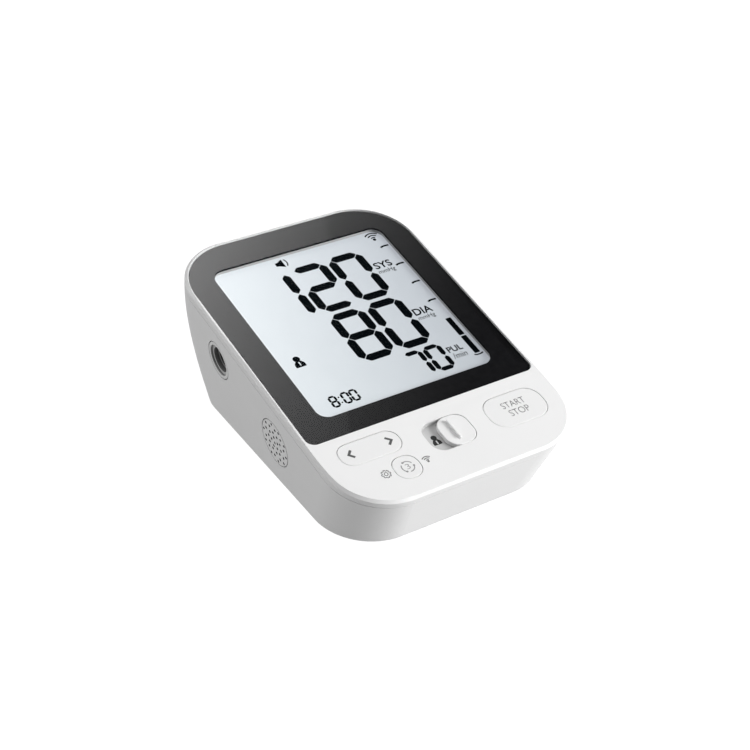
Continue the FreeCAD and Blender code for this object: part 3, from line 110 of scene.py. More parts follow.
def in_window(tree, place):
    """One inside the rounded opening of the display, nothing outside it."""
    u, v, _ = in_panel(tree, place)
    corner = WINDOW_CORNER * MM
    past_side = calc(tree, "SUBTRACT", calc(tree, "ABSOLUTE", u), WINDOW_HALF * MM - corner)
    from_middle = calc(tree, "ABSOLUTE", calc(tree, "SUBTRACT", v, WINDOW_MIDDLE * MM))
    past_end = calc(tree, "SUBTRACT", from_middle, WINDOW_REACH * MM - corner)
    a = calc(tree, "MAXIMUM", past_side, 0.0)
    b = calc(tree, "MAXIMUM", past_end, 0.0)
    square = calc(tree, "ADD", calc(tree, "MULTIPLY", a, a), calc(tree, "MULTIPLY", b, b))
    return calc(tree, "LESS_THAN", square, corner * corner)


# ------------------------------------------------------------------ materials
CONVEX = (0.52, 0.6)      # Pointiness from where the painted edge highlight starts to where it is full


class Surface:
    """A Principled material built up from nodes in the piece's own coordinates."""

    def __init__(self, name, color, roughness, **sockets):
        self.material = bpy.data.materials.new(name)
        self.material.use_nodes = True
        self.tree = self.material.node_tree
        self.shader = self.tree.nodes["Principled BSDF"]
        self.shader.inputs["Base Color"].default_value = (*color, 1.0)
        self.shader.inputs["Roughness"].default_value = roughness
        for key, value in sockets.items():
            self.shader.inputs[key.replace("_", " ")].default_value = value
        self.color = color
        self.place = self.tree.nodes.new("ShaderNodeTexCoord").outputs["Object"]

    def node(self, kind, **settings):
        made = self.tree.nodes.new(kind)
        for key, value in settings.items():
            setattr(made, key, value)
        return made

    def link(self, a, b):
        self.tree.links.new(a, b)

    def noise(self, grain_mm, detail=4.0, stretch=(1.0, 1.0, 1.0)):
        """Noise whose features are about grain_mm across."""
        mapping = self.node("ShaderNodeMapping")
        mapping.inputs["Scale"].default_value = stretch
        self.link(self.place, mapping.inputs["Vector"])
        noise = self.node("ShaderNodeTexNoise")
        noise.inputs["Scale"].default_value = 1.0 / (grain_mm * MM)
        noise.inputs["Detail"].default_value = detail
        self.link(mapping.outputs["Vector"], noise.inputs["Vector"])
        return noise.outputs["Fac"]

    def ranged(self, source, low, high, from_low=0.3, from_high=0.7):
        """Maps source from one range to another; noise mostly lies in the default range."""
        ramp = self.node("ShaderNodeMapRange")
        ramp.inputs["From Min"].default_value = from_low
        ramp.inputs["From Max"].default_value = from_high
        ramp.inputs["To Min"].default_value = low
        ramp.inputs["To Max"].default_value = high
        self.link(source, ramp.inputs["Value"])
        return ramp.outputs["Result"]

    def blend(self, factor, other):
        """Mixes another colour over the base colour by factor."""
        mix = self.node("ShaderNodeMix", data_type="RGBA")
        mix.inputs["A"].default_value = (*self.color, 1.0)
        mix.inputs["B"].default_value = (*other, 1.0)
        self.link(factor, mix.inputs["Factor"])
        previous = self.shader.inputs["Base Color"].links
        if previous:
            self.link(previous[0].from_socket, mix.inputs["A"])
        self.link(mix.outputs["Result"], self.shader.inputs["Base Color"])
        return self

    def vary_color(self, source, other):
        return self.blend(self.ranged(source, 0.0, 1.0), other)

    def vary_roughness(self, source, low, high):
        self.link(self.ranged(source, low, high), self.shader.inputs["Roughness"])
        return self

    def bump(self, source, height_mm, strength=1.0):
        bump = self.node("ShaderNodeBump")
        bump.inputs["Distance"].default_value = height_mm * MM
        bump.inputs["Strength"].default_value = strength
        self.link(source, bump.inputs["Height"])
        previous = self.shader.inputs["Normal"].links
        if previous:
            self.link(previous[0].from_socket, bump.inputs["Normal"])
        self.link(bump.outputs["Normal"], self.shader.inputs["Normal"])
        return self

    def painted_edge_highlight(self, other, amount):
        """Painted light along convex edges: the colour turns towards other there, lighter or
        darker.
        """
        geometry = self.node("ShaderNodeNewGeometry")
        return self.blend(self.ranged(geometry.outputs["Pointiness"], 0.0, amount, *CONVEX), other)


def shade(surface, level):
    """Painted shade: multiplies a surface's colour by level."""
    mix = surface.node("ShaderNodeMix", data_type="RGBA")
    mix.inputs["A"].default_value = (0.0, 0.0, 0.0, 1.0)
    previous = surface.shader.inputs["Base Color"].links
    surface.link(previous[0].from_socket, mix.inputs["B"])
    surface.link(level, mix.inputs["Factor"])
    surface.link(mix.outputs["Result"], surface.shader.inputs["Base Color"])


def darken(surface, amount):
    """Painted shade: takes amount, from none to one, off a surface's colour."""
    shade(surface, calc(surface.tree, "SUBTRACT", 1.0, amount))


def along_wall_out(surface, vector):
    """How far a vector reaches out of the left wall."""
    dot = surface.node("ShaderNodeVectorMath", operation="DOT_PRODUCT")
    dot.inputs[1].default_value = wall_out
    surface.link(vector, dot.inputs[0])
    return dot.outputs["Value"]


def shade_into_wall(surface, start_mm, end_mm, darkest):
    """Paints shade on a piece in the left wall, darker from one depth to another."""
    level = surface.ranged(along_wall_out(surface, surface.place), darkest, 1.0,
                           wall_at - end_mm * MM, wall_at - start_mm * MM)
    shade(surface, calc(surface.tree, "MULTIPLY", level, level))


def shade_hole_walls(surface, darkest, low, high):
    """Paints shade on a left-wall piece wherever its face doesn't look straight out of the wall."""
    normal = surface.node("ShaderNodeNewGeometry").outputs["Normal"]
    shade(surface, surface.ranged(along_wall_out(surface, normal), darkest, 1.0, low, high))


def scaled(color, factor):
    return tuple(min(1.0, channel * factor) for channel in color)


def moulded(name, color, roughness, grain=0.35, height=0.006, **sockets):
    """Satin moulded plastic: fine spark-eroded grain, faint mottling, a painted highlight along its
    edges.
    """
    surface = Surface(name, color, roughness, **sockets)
    surface.vary_color(surface.noise(28.0, 3.0), scaled(color, 0.985))
    surface.painted_edge_highlight(scaled(color, 1.03), 0.5)
    surface.vary_roughness(surface.noise(6.0), roughness - 0.04, roughness + 0.05)
    surface.bump(surface.noise(grain, 3.0), height, 0.6)
    return surface


def metal(name, color, roughness, brushed=(1.0, 1.0, 1.0), grain=0.5):
    surface = Surface(name, color, roughness, Metallic=1.0)
    surface.vary_color(surface.noise(4.0), scaled(color, 0.8))
    surface.vary_roughness(surface.noise(1.5, stretch=brushed), roughness - 0.08, roughness + 0.12)
    surface.bump(surface.noise(grain, 2.0, brushed), 0.01, 0.5)
    return surface.material


def rubber(name, color, roughness=0.6, **sockets):
    surface = Surface(name, color, roughness, **sockets)
    surface.vary_color(surface.noise(3.0), scaled(color, 0.85))
    surface.vary_roughness(surface.noise(2.0), roughness - 0.1, roughness + 0.1)
    surface.bump(surface.noise(0.4), 0.02, 0.5)
    return surface.material


SHELL = (0.80, 0.80, 0.80)
white_shell = moulded("white_shell", SHELL, 0.42, Specular_IOR_Level=0.4).material
white_keys = moulded("white_keys", SHELL, 0.38, 0.25, 0.004, Specular_IOR_Level=0.4).material
black_plastic = moulded("black_plastic", (0.03, 0.03, 0.03), 0.4).material
frame_plastic = moulded("frame_white", (0.75, 0.75, 0.73), 0.45).material
pump_plastic = moulded("pump_black", (0.045, 0.045, 0.05), 0.45, 0.8, 0.02).material

top_shell = moulded("top_shell", SHELL, 0.42, Specular_IOR_Level=0.4)
case_u, case_v, case_w = in_panel(top_shell.tree, top_shell.place)


def on_top(operation, *values):
    return calc(top_shell.tree, operation, *values)


# Painted shade, grey, on the walls of the display opening below the lens.
WINDOW_WALL = 1.5
WINDOW_WALL_TOP = -1.1
WINDOW_SHADE = 0.55
near_u = on_top("COMPARE", case_u, 0.0, (WINDOW_HALF + WINDOW_WALL) * MM)
near_v = on_top("COMPARE", case_v, WINDOW_MIDDLE * MM, (WINDOW_REACH + WINDOW_WALL) * MM)
below = on_top("LESS_THAN", case_w, WINDOW_WALL_TOP * MM)
window_walls = on_top("MULTIPLY", on_top("MULTIPLY", near_u, near_v), below)
darken(top_shell, on_top("MULTIPLY", window_walls, WINDOW_SHADE))

# The recess of the slide switch gets painted shade too, more and more down to SUNK_DEPTH.
RECESS_SHADE = 0.32
SUNK_START = -0.05
SUNK_DEPTH = -1.2
recess_u = on_top("COMPARE", case_u, RECESS_MIDDLE_U * MM, RECESS_REACH_U * MM)
recess_v = on_top("COMPARE", case_v, RECESS_MIDDLE_V * MM, RECESS_REACH_V * MM)
recess = on_top("MULTIPLY", recess_u, recess_v)
sunk_shade = top_shell.ranged(case_w, RECESS_SHADE, 0.0, SUNK_DEPTH * MM, SUNK_START * MM)
darken(top_shell, on_top("MULTIPLY", recess, sunk_shade))

# The jack and the grille get painted shade down their holes.
jack_plastic = moulded("jack_grey", SHELL, 0.36, 0.25, Specular_IOR_Level=0.3)
shade_into_wall(jack_plastic, 0.3, 6.0, 0.12)
shade_hole_walls(jack_plastic, 0.3, 0.4, 0.95)
grille_plastic = moulded("grille_white", SHELL, 0.42, Specular_IOR_Level=0.3)
shade_hole_walls(grille_plastic, 0.02, 0.5, 0.95)

mask = Surface("mask_black", (0.005, 0.005, 0.006), 0.5, Specular_IOR_Level=0.0)
mask.vary_color(mask.noise(2.5), (0.008, 0.008, 0.009))
mask.vary_roughness(mask.noise(1.2), 0.45, 0.6)

tape = rubber("tape_black", (0.02, 0.02, 0.02), 0.8)
gasket = rubber("gasket", (0.03, 0.03, 0.03), 0.85)
sleeve = rubber("sleeve_rubber", (0.05, 0.05, 0.05), 0.7)
foot = rubber("foot_rubber", (0.62, 0.62, 0.61), 0.65)
silicone = rubber("tube_silicone", (0.75, 0.75, 0.72), 0.35, Subsurface_Weight=0.2)
wire = rubber("wire_red", (0.45, 0.03, 0.02), 0.45)
steel = metal("steel", (0.60, 0.60, 0.61), 0.35, brushed=(1.0, 1.0, 4.0))
spring_steel = metal("spring_steel", (0.78, 0.77, 0.74), 0.2)
motor_steel = metal("motor_steel", (0.55, 0.55, 0.56), 0.3, brushed=(8.0, 1.0, 1.0))
tin = metal("shield_tin", (0.66, 0.66, 0.64), 0.32, brushed=(1.0, 6.0, 1.0))
magnet = metal("magnet", (0.22, 0.22, 0.23), 0.5)

chip = Surface("chip_black", (0.018, 0.018, 0.02), 0.55)
chip.vary_color(chip.noise(2.0), (0.03, 0.03, 0.03)).bump(chip.noise(0.2), 0.01, 0.4)
chip.vary_roughness(chip.noise(1.0), 0.45, 0.65)

board = Surface("board_green", (0.015, 0.12, 0.045), 0.3, Coat_Weight=0.5, Coat_Roughness=0.15)
board.vary_color(board.noise(5.0, 2.0), (0.03, 0.2, 0.08)).bump(board.noise(1.2, 2.0), 0.02, 0.5)
board.vary_roughness(board.noise(2.0), 0.25, 0.4)

zebra = Surface("zebra", (0.7, 0.38, 0.42), 0.5)
zebra.vary_color(zebra.noise(0.3, 1.0, (8.0, 0.1, 0.1)), (0.05, 0.04, 0.05))
zebra.vary_roughness(zebra.noise(1.0), 0.4, 0.6)

diffuser = Surface("lightguide", (0.82, 0.84, 0.86), 0.25, Subsurface_Weight=0.2)
diffuser.vary_color(diffuser.noise(3.0), (0.9, 0.92, 0.94)).bump(diffuser.noise(0.6), 0.01, 0.3)
diffuser.vary_roughness(diffuser.noise(2.0), 0.2, 0.35)

cone = Surface("cone_paper", (0.03, 0.03, 0.03), 0.85)
cone.vary_color(cone.noise(1.2, 6.0), (0.06, 0.055, 0.05)).bump(cone.noise(0.25, 6.0), 0.05, 0.7)
cone.vary_roughness(cone.noise(1.0), 0.75, 0.95)


def cell_sleeve():
    """Alkaline cell: printed sleeve with bare metal at both ends."""
    surface = Surface("cell_wrap", (0.03, 0.07, 0.16), 0.28, Coat_Weight=0.4)
    split = surface.node("ShaderNodeSeparateXYZ")
    surface.link(surface.place, split.inputs["Vector"])
    reach = surface.node("ShaderNodeMath", operation="ABSOLUTE")
    surface.link(split.outputs["X"], reach.inputs[0])
    _, cell_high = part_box("battery_cells")
    edge = 0.05 * MM
    can_end = cell_high.x - 4.9 * MM
    band_end = 14.0 * MM
    bare = surface.ranged(reach.outputs["Value"], 0.0, 1.0, can_end, can_end + edge)
    band = surface.ranged(reach.outputs["Value"], 1.0, 0.0, band_end, band_end + edge)
    surface.blend(band, (0.55, 0.56, 0.58))
    surface.blend(bare, (0.72, 0.72, 0.72))
    surface.link(bare, surface.shader.inputs["Metallic"])
    surface.vary_roughness(surface.noise(5.0), 0.22, 0.36)
    surface.bump(surface.noise(3.0), 0.01, 0.3)
    return surface.material


LENS_TINT = (0.985, 0.99, 0.99, 1.0)
LENS_IOR = 1.45
LENS_COATING = 0.93      # share of the reflection that the coating over the display takes away
SMEAR_GRAIN = 60.0


def clear_lens():
    """Thin clear acrylic: mirrors by Fresnel, much less so where it is coated over the display."""
    material = bpy.data.materials.new("lens_clear")
    material.use_nodes = True
    tree = material.node_tree
    tree.nodes.remove(tree.nodes["Principled BSDF"])
    output = tree.nodes["Material Output"]
    clear = tree.nodes.new("ShaderNodeBsdfTransparent")
    gloss = tree.nodes.new("ShaderNodeBsdfGlossy")
    fresnel = tree.nodes.new("ShaderNodeFresnel")
    mix = tree.nodes.new("ShaderNodeMixShader")
    place = tree.nodes.new("ShaderNodeTexCoord")
    smear = tree.nodes.new("ShaderNodeTexNoise")
    ranged = tree.nodes.new("ShaderNodeMapRange")
    sides = tree.nodes.new("ShaderNodeNewGeometry")
    clear.inputs["Color"].default_value = LENS_TINT
    gloss.inputs["Color"].default_value = (1.0, 1.0, 1.0, 1.0)
    fresnel.inputs["IOR"].default_value = LENS_IOR
    smear.inputs["Scale"].default_value = SMEAR_GRAIN
    ranged.inputs["From Min"].default_value = 0.35
    ranged.inputs["From Max"].default_value = 0.65
    ranged.inputs["To Min"].default_value = 0.02
    ranged.inputs["To Max"].default_value = 0.05
    links = tree.links
    links.new(place.outputs["Object"], smear.inputs["Vector"])
    links.new(smear.outputs["Fac"], ranged.inputs["Value"])
    links.new(ranged.outputs["Result"], gloss.inputs["Roughness"])
    outside = calc(tree, "SUBTRACT", 1.0, sides.outputs["Backfacing"])
    mirrored = calc(tree, "MULTIPLY", fresnel.outputs["Fac"], outside)
    coated = calc(tree, "MULTIPLY", in_window(tree, place.outputs["Object"]), LENS_COATING)
    links.new(calc(tree, "MULTIPLY", mirrored, calc(tree, "SUBTRACT", 1.0, coated)),
              mix.inputs["Fac"])
    links.new(clear.outputs["BSDF"], mix.inputs[1])
    links.new(gloss.outputs["BSDF"], mix.inputs[2])
    links.new(mix.outputs["Shader"], output.inputs["Surface"])
    return material


# Painted glow of the display, standing in for the light on it: colours to its left and right,
# strength at its front and rear.
GLOW_LEFT = (0.64, 0.665, 0.69, 1.0)
GLOW_RIGHT = (0.33, 0.34, 0.375, 1.0)
GLOW_FRONT = 0.86
GLOW_REAR = 1.05


def painted_glow_display():
    """Display with a painted glow in place of the light on it: brighter to its left and rear,
    cooler to its right.
    """
    surface = Surface("lcd", (0.22, 0.24, 0.25), 0.35, Specular_IOR_Level=0.1)
    split = surface.node("ShaderNodeSeparateXYZ")
    surface.link(surface.place, split.inputs["Vector"])
    low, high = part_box("lcd_panel")
    across = surface.ranged(split.outputs["X"], 0.0, 1.0, low.x, high.x)
    mix = surface.node("ShaderNodeMix", data_type="RGBA")
    mix.inputs["A"].default_value = GLOW_LEFT
    mix.inputs["B"].default_value = GLOW_RIGHT
    surface.link(across, mix.inputs["Factor"])
    surface.link(mix.outputs["Result"], surface.shader.inputs["Emission Color"])
    up_panel = surface.ranged(split.outputs["Y"], GLOW_FRONT, GLOW_REAR, low.y, high.y)
    surface.link(up_panel, surface.shader.inputs["Emission Strength"])
    surface.vary_color(surface.noise(9.0), (0.235, 0.255, 0.265))
    surface.vary_roughness(surface.noise(2.0), 0.3, 0.42)
    surface.bump(surface.noise(0.15), 0.002, 0.3)
    return surface.material


FINISH = {
    "upper_case": top_shell.material,
    "lower_case": white_shell,
    "display_lens": clear_lens(),
    "lens_mask": mask.material,
    "lens_tape": tape,
    "lcd_panel": painted_glow_display(),
    "lcd_backlight": diffuser.material,
    "lcd_connector_strip": zebra.material,
    "lcd_frame": frame_plastic,
    "main_board": board.material,
    "board_screws": steel,
    "board_chips": chip.material,
    "radio_module": tin,
    "push_switches": black_plastic,
    "switch_domes": spring_steel,
    "start_stop_button": white_keys,
    "average_button": white_keys,
    "arrow_rocker": white_keys,
    "user_slider": white_keys,
    "slider_retainer": black_plastic,
    "slide_switch": tin,
    "slide_switch_lever": black_plastic,
    "air_jack": jack_plastic.material,
    "speaker_grille": grille_plastic.material,
    "speaker_basket": steel,
    "speaker_cone": cone.material,
    "speaker_magnet": magnet,
    "speaker_gasket": gasket,
    "battery_cells": cell_sleeve(),
    "battery_springs": spring_steel,
    "battery_contacts": spring_steel,
    "battery_door": white_shell,
    "rubber_feet": foot,
    "case_screws": steel,
    "pump_motor": motor_steel,
    "pump_head": pump_plastic,
    "pump_crank": steel,
    "pump_sleeve": sleeve,
    "exhaust_valve": black_plastic,
    "pressure_sensor": black_plastic,
    "air_manifold": black_plastic,
    "jack_tube": silicone,
    "pump_tube": silicone,
    "valve_tube": silicone,
    "sensor_tube": silicone,
    "pump_leads": wire,
    "speaker_leads": wire,
    "battery_leads": wire,
}
for name, material in FINISH.items():
    mesh = nodes[name].data
    mesh.materials.clear()
    mesh.materials.append(material)

ink = Surface("display_ink", (0.001, 0.002, 0.003), 0.55, Specular_IOR_Level=0.0)
ink.vary_color(ink.noise(1.5), (0.002, 0.003, 0.004))
ink.vary_roughness(ink.noise(0.8), 0.5, 0.65)


def print_ink(name, color):
    """Pad-printed ink: thin, slightly uneven, satin."""
    surface = Surface(name, color, 0.5, Specular_IOR_Level=0.3)
    surface.vary_color(surface.noise(0.5), scaled(color, 1.25))
    surface.vary_roughness(surface.noise(0.6), 0.42, 0.6)
    surface.bump(surface.noise(0.2), 0.004, 0.4)
    return surface.material


dark_ink = print_ink("ink_dark", (0.085, 0.085, 0.085))
mid_ink = print_ink("ink_mid", (0.20, 0.20, 0.20))
pale_ink = print_ink("ink_pale", (0.26, 0.26, 0.26))
mark_ink = print_ink("ink_mark", (0.13, 0.13, 0.13))
icon_ink = print_ink("ink_icon", (0.02, 0.02, 0.02))


# ---------------------------------------------------------------- flat pieces
class Flat:
    """Thin plates with real thickness, drawn in u, v at one height of the panel."""

    def __init__(self, name, w, thickness=PRINT_THICKNESS):
        self.name = name
        self.bm = bmesh.new()
        self.w0 = w
        self.w1 = w + thickness

    def shape(self, points, soften=0.0):
        """Plate from a convex or simple outline, its corners rounded by soften."""
        if soften:
            points = rounded(points, soften)
        low = [self.bm.verts.new((u, v, self.w0)) for u, v in points]
        high = [self.bm.verts.new((u, v, self.w1)) for u, v in points]
        self.bm.faces.new(high)
        self.bm.faces.new(list(reversed(low)))
        count = len(points)
        for i in range(count):
            j = (i + 1) % count
            self.bm.faces.new((low[i], low[j], high[j], high[i]))

    def disc(self, u, v, radius, count, place=lambda points: points):
        self.shape(place(arc(u, v, radius, 0.0, 360.0, count)[:-1]))

    def band(self, points, width, closed=False):
        """Stroke of constant width along points."""
        left = []
        right = []
        count = len(points)
        for i, point in enumerate(points):
            if closed:
                before, after = points[i - 1], points[(i + 1) % count]
            else:
                before, after = points[max(i - 1, 0)], points[min(i + 1, count - 1)]
            here = Vector(point)
            first = here - Vector(before)
            second = Vector(after) - here
            first = first.normalized() if first.length > 1e-9 else second.normalized()
            second = second.normalized() if second.length > 1e-9 else first
            middle = (first + second).normalized()
            side = Vector((-middle.y, middle.x))
            reach = width / 2 / max(0.3, middle.dot(first))
            left.append(here + side * reach)
            right.append(here - side * reach)
        rows = []
        for a, b in zip(left, right):
            corners = ((a, self.w0), (b, self.w0), (b, self.w1), (a, self.w1))
            rows.append([self.bm.verts.new((at.x, at.y, w)) for at, w in corners])
        spans = count if closed else count - 1
        for i in range(spans):
            one, two = rows[i], rows[(i + 1) % count]
            for k in range(4):
                m = (k + 1) % 4
                self.bm.faces.new((one[k], one[m], two[m], two[k]))
        if not closed:
            self.bm.faces.new(list(reversed(rows[0])))
            self.bm.faces.new(rows[-1])

    def letters(self, text, u0, u1, v0, v1, weight=0.0, shear=0.0):
        """A word in Blender's own plain font, fitted into the given box."""
        curve = bpy.data.curves.new(self.name + "_word", "FONT")
        curve.body = text
        curve.size = 1.0
        curve.offset = weight
        curve.shear = shear
        curve.resolution_u = 6
        holder = bpy.data.objects.new(self.name + "_word", curve)
        bpy.context.scene.collection.objects.link(holder)
        bpy.context.view_layer.update()
        flat = bpy.data.meshes.new_from_object(holder.evaluated_get(
            bpy.context.evaluated_depsgraph_get()))
        bpy.data.objects.remove(holder)
        bpy.data.curves.remove(curve)
        across = [vertex.co.x for vertex in flat.vertices]
        upright = [vertex.co.y for vertex in flat.vertices]
        low_x, high_x = min(across), max(across)
        low_y, high_y = min(upright), max(upright)
        word = bmesh.new()
        word.from_mesh(flat)
        bpy.data.meshes.remove(flat)
        bmesh.ops.remove_doubles(word, verts=word.verts, dist=1e-5)
        for vertex in word.verts:
            along = (vertex.co.x - low_x) / (high_x - low_x)
            up = (vertex.co.y - low_y) / (high_y - low_y)
            vertex.co = Vector((u0 + (u1 - u0) * along, v0 + (v1 - v0) * up, self.w1))
        made = bmesh.ops.extrude_face_region(word, geom=word.faces[:])
        lower = [item for item in made["geom"] if isinstance(item, bmesh.types.BMVert)]
        bmesh.ops.translate(word, verts=lower, vec=(0.0, 0.0, self.w0 - self.w1))
        copy = bpy.data.meshes.new(self.name + "_copy")
        word.to_mesh(copy)
        word.free()
        self.bm.from_mesh(copy)
        bpy.data.meshes.remove(copy)

    def finish(self, material, body):
        bmesh.ops.recalc_face_normals(self.bm, faces=self.bm.faces)
        mesh = bpy.data.meshes.new(self.name)
        self.bm.to_mesh(mesh)
        self.bm.free()
        mesh.transform(PANEL)
        mesh.materials.append(material)
        piece = bpy.data.objects.new(self.name, mesh)
        bpy.context.scene.collection.objects.link(piece)
        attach(piece, body)


def arc(u, v, radius, start, end, count):
    """Points on a circle from start to end degrees."""
    points = []
    for i in range(count + 1):
        angle = math.radians(start + (end - start) * i / count)
        points.append((u + radius * math.cos(angle), v + radius * math.sin(angle)))
    return points


def rounded(points, radius, steps=4):
    """The same outline with every corner rounded."""
    result = []
    count = len(points)
    for i in range(count):
        here = Vector(points[i])
        to_before = Vector(points[i - 1]) - here
        to_after = Vector(points[(i + 1) % count]) - here
        reach = min(radius, to_before.length * 0.45, to_after.length * 0.45)
        start = here + to_before.normalized() * reach
        end = here + to_after.normalized() * reach
        for k in range(steps + 1):
            t = k / steps
            point = start * (1 - t) ** 2 + here * 2 * t * (1 - t) + end * t ** 2
            result.append((point.x, point.y))
    return result


# -------------------------------------------------------------------- display
# The display's own layout: where each mark sits on the glass, in panel u, v.
LCD_TOP = -2.5
LCD_SCALE = 1.0062
LCD_OFFSET = Vector((1.70, 1.86))
DIGIT = {"0": "abcdef", "1": "bc", "2": "abged", "7": "abc", "8": "abcdefg"}
SEGMENT_SOFT = 0.12      # corner rounding of a segment, as a share of its stroke


def on_lcd(points):
    return [tuple(Vector(point) * LCD_SCALE + LCD_OFFSET) for point in points]


def bar(a, b, stroke, gap):
    """Six-sided display segment from a to b, pointed at both ends."""
    a = Vector(a)
    b = Vector(b)
    along = (b - a).normalized()
    side = Vector((-along.y, along.x)) * stroke / 2
    a = a + along * gap
    b = b - along * gap
    taper = along * stroke / 2
    points = [a, a + taper - side, b - taper - side, b, b - taper + side, a + taper + side]
    return [tuple(point) for point in points]


def digit(flat, character, u, v, width, height, stroke, gap):
    """Seven-segment digit; u, v is its lower left corner, on the segments' centre lines."""
    middle = v + height / 2
    top = v + height
    right = u + width
    segments = {
        "a": ((u, top), (right, top)),
        "b": ((right, middle), (right, top)),
        "c": ((right, v), (right, middle)),
        "d": ((u, v), (right, v)),
        "e": ((u, v), (u, middle)),
        "f": ((u, middle), (u, top)),
        "g": ((u, middle), (right, middle)),
    }
    for key in DIGIT[character]:
        start, end = segments[key]
        flat.shape(on_lcd(bar(start, end, stroke, gap)), stroke * SEGMENT_SOFT)


BIG = {"width": 11.85, "height": 23.7, "stroke": 3.5, "gap": 0.16}
SMALL = {"width": 5.95, "height": 11.8, "stroke": 2.0, "gap": 0.1}
CLOCK = {"width": 2.4, "height": 5.0, "stroke": 0.88, "gap": 0.04}

# Rows of digits: size, v, then each digit with its u.
ROWS = (
    (BIG, 58.5, (("1", -24.15), ("2", -7.8), ("0", 8.6))),
    (BIG, 29.65, (("8", -7.8), ("0", 8.6))),
    (SMALL, 13.5, (("7", 6.9), ("0", 15.25))),
    (CLOCK, 12.9, (("8", -30.7), ("0", -25.7), ("0", -22.25))),
)
COLON_LEFT = -27.3
COLON_RIGHT = -26.7
COLON_HALF = 0.3

digits = Flat("lcd_digits", LCD_TOP)
for size, v, row in ROWS:
    for character, u in row:
        digit(digits, character, u, v, **size)
for v in (14.0, 16.7):
    low, high = v - COLON_HALF, v + COLON_HALF
    dot = [(COLON_LEFT, low), (COLON_RIGHT, low), (COLON_RIGHT, high), (COLON_LEFT, high)]
    digits.shape(on_lcd(dot), 0.1)
digits.finish(ink.material, "case")


# Words: text, the u and v ranges they fill, weight of the strokes and slant.
WORDS = (
    ("SYS", (23.1, 30.8), (70.9, 74.6), 0.02, 0.0),
    ("DIA", (22.8, 30.9), (42.0, 45.7), 0.02, 0.0),
    ("PUL", (23.3, 29.7), (19.6, 22.6), 0.02, 0.0),
    ("mmHg", (22.9, 30.6), (67.5, 70.3), 0.0, 0.15),
    ("mmHg", (22.7, 30.4), (38.7, 41.4), 0.0, 0.15),
    ("/min", (23.5, 29.6), (16.1, 18.9), 0.0, 0.1),
)

words = Flat("lcd_words", LCD_TOP)
for text, across, up, weight, slant in WORDS:
    (u0, v0), (u1, v1) = on_lcd(list(zip(across, up)))
    words.letters(text, u0, u1, v0, v1, weight, slant)
words.finish(ink.material, "case")

scale = Flat("lcd_scale", LCD_TOP)
TICK = ((31.7, -0.45), (32.6, -0.05), (33.6, 0.05), (35.5, -0.05))
for v in (82.1, 70.6, 59.0, 47.5):
    scale.band(on_lcd([(u, v + rise) for u, rise in TICK]), 0.85)
for v0, v1 in ((26.2, 36.2), (15.7, 25.6)):
    scale.shape(on_lcd([(32.3, v0), (34.7, v0), (34.7, v1), (32.3, v1)]), 0.35)
scale.band(on_lcd([(31.6, 15.2), (32.5, 14.85), (33.6, 14.75), (34.7, 14.85), (35.5, 15.2)]), 0.6)
scale.finish(ink.material, "case")


# The user mark in parts of its size.
HEAD_UP = 2.3
HEAD_RADIUS = 0.76
BODY = ((-1.15, 0.0), (1.15, 0.0), (1.12, 0.95), (0.6, 1.7), (-0.6, 1.7), (-1.12, 0.95))
BODY_SOFT = 0.22


def person(flat, u, v, size, place=lambda points: points):
    """User mark: a head over a round-shouldered body; u, v is the middle of its foot."""
    flat.disc(u, v + HEAD_UP * size, HEAD_RADIUS * size, 28, place)
    body = [(u + across * size, v + up * size) for across, up in BODY]
    flat.shape(place(body), BODY_SOFT * size)


def waves(flat, u, v, size, stroke, place=lambda points: points):
    """Plain wireless mark: a dot and three arcs that open upwards."""
    flat.disc(u, v, 0.55 * stroke + 0.1 * size, 16, place)
    for step in (1, 2, 3):
        flat.band(place(arc(u, v, size * step / 3, 45.0, 135.0, 12)), stroke)


icons = Flat("lcd_icons", LCD_TOP)
icons.shape(on_lcd([(-12.4, 87.3), (-11.4, 87.3), (-9.0, 86.0), (-9.0, 90.6), (-11.4, 89.3),
                    (-12.4, 89.3)]), 0.15)
icons.band(on_lcd(arc(-10.6, 88.3, 3.1, -38.0, 38.0, 10)), 0.5)
person(icons, -31.15, 35.5, 1.85, on_lcd)
waves(icons, 32.0, 86.9, 3.9, 0.6, on_lcd)
icons.finish(ink.material, "case")

cutout_ink = print_ink("ink_cutout", (0.62, 0.66, 0.68))
user_one = Flat("lcd_user_number", LCD_TOP + PRINT_THICKNESS)
user_one.shape(on_lcd([(-31.35, 36.3), (-30.85, 36.3), (-30.85, 38.2), (-31.35, 38.0)]), 0.05)
user_one.finish(cutout_ink, "case")

# --------------------------------------------------------------- printed marks
TOP = 0.0
chevrons = Flat("print_arrows", TOP)
for ends_u, tip_u in ((-36.6, -38.2), (-22.5, -20.7)):
    chevrons.band([(ends_u, -7.15), (tip_u, -8.9), (ends_u, -10.65)], 0.95)
chevrons.finish(dark_ink, "arrow_keys")

start = Flat("print_start_stop", TOP)
start.letters("START", 25.1, 35.2, -13.2, -10.3, -0.004)
start.letters("STOP", 26.0, 34.6, -17.4, -14.4, -0.004)
start.finish(mid_ink, "start_stop")

# Average mark: three arcs with round tips about a 3.
AVERAGE_AT = (-22.2, -22.0)
AVERAGE_RADIUS = 2.35
AVERAGE_SWEEP = 88.0
average = Flat("print_average", TOP)
for first in (25.0, 145.0, 265.0):
    sweep = arc(*AVERAGE_AT, AVERAGE_RADIUS, first, first + AVERAGE_SWEEP, 14)
    average.band(sweep, 0.4)
    average.disc(*sweep[-1], 0.42, 16)
average.letters("3", -22.95, -21.4, -23.1, -20.8, -0.012)
average.finish(pale_ink, "average")

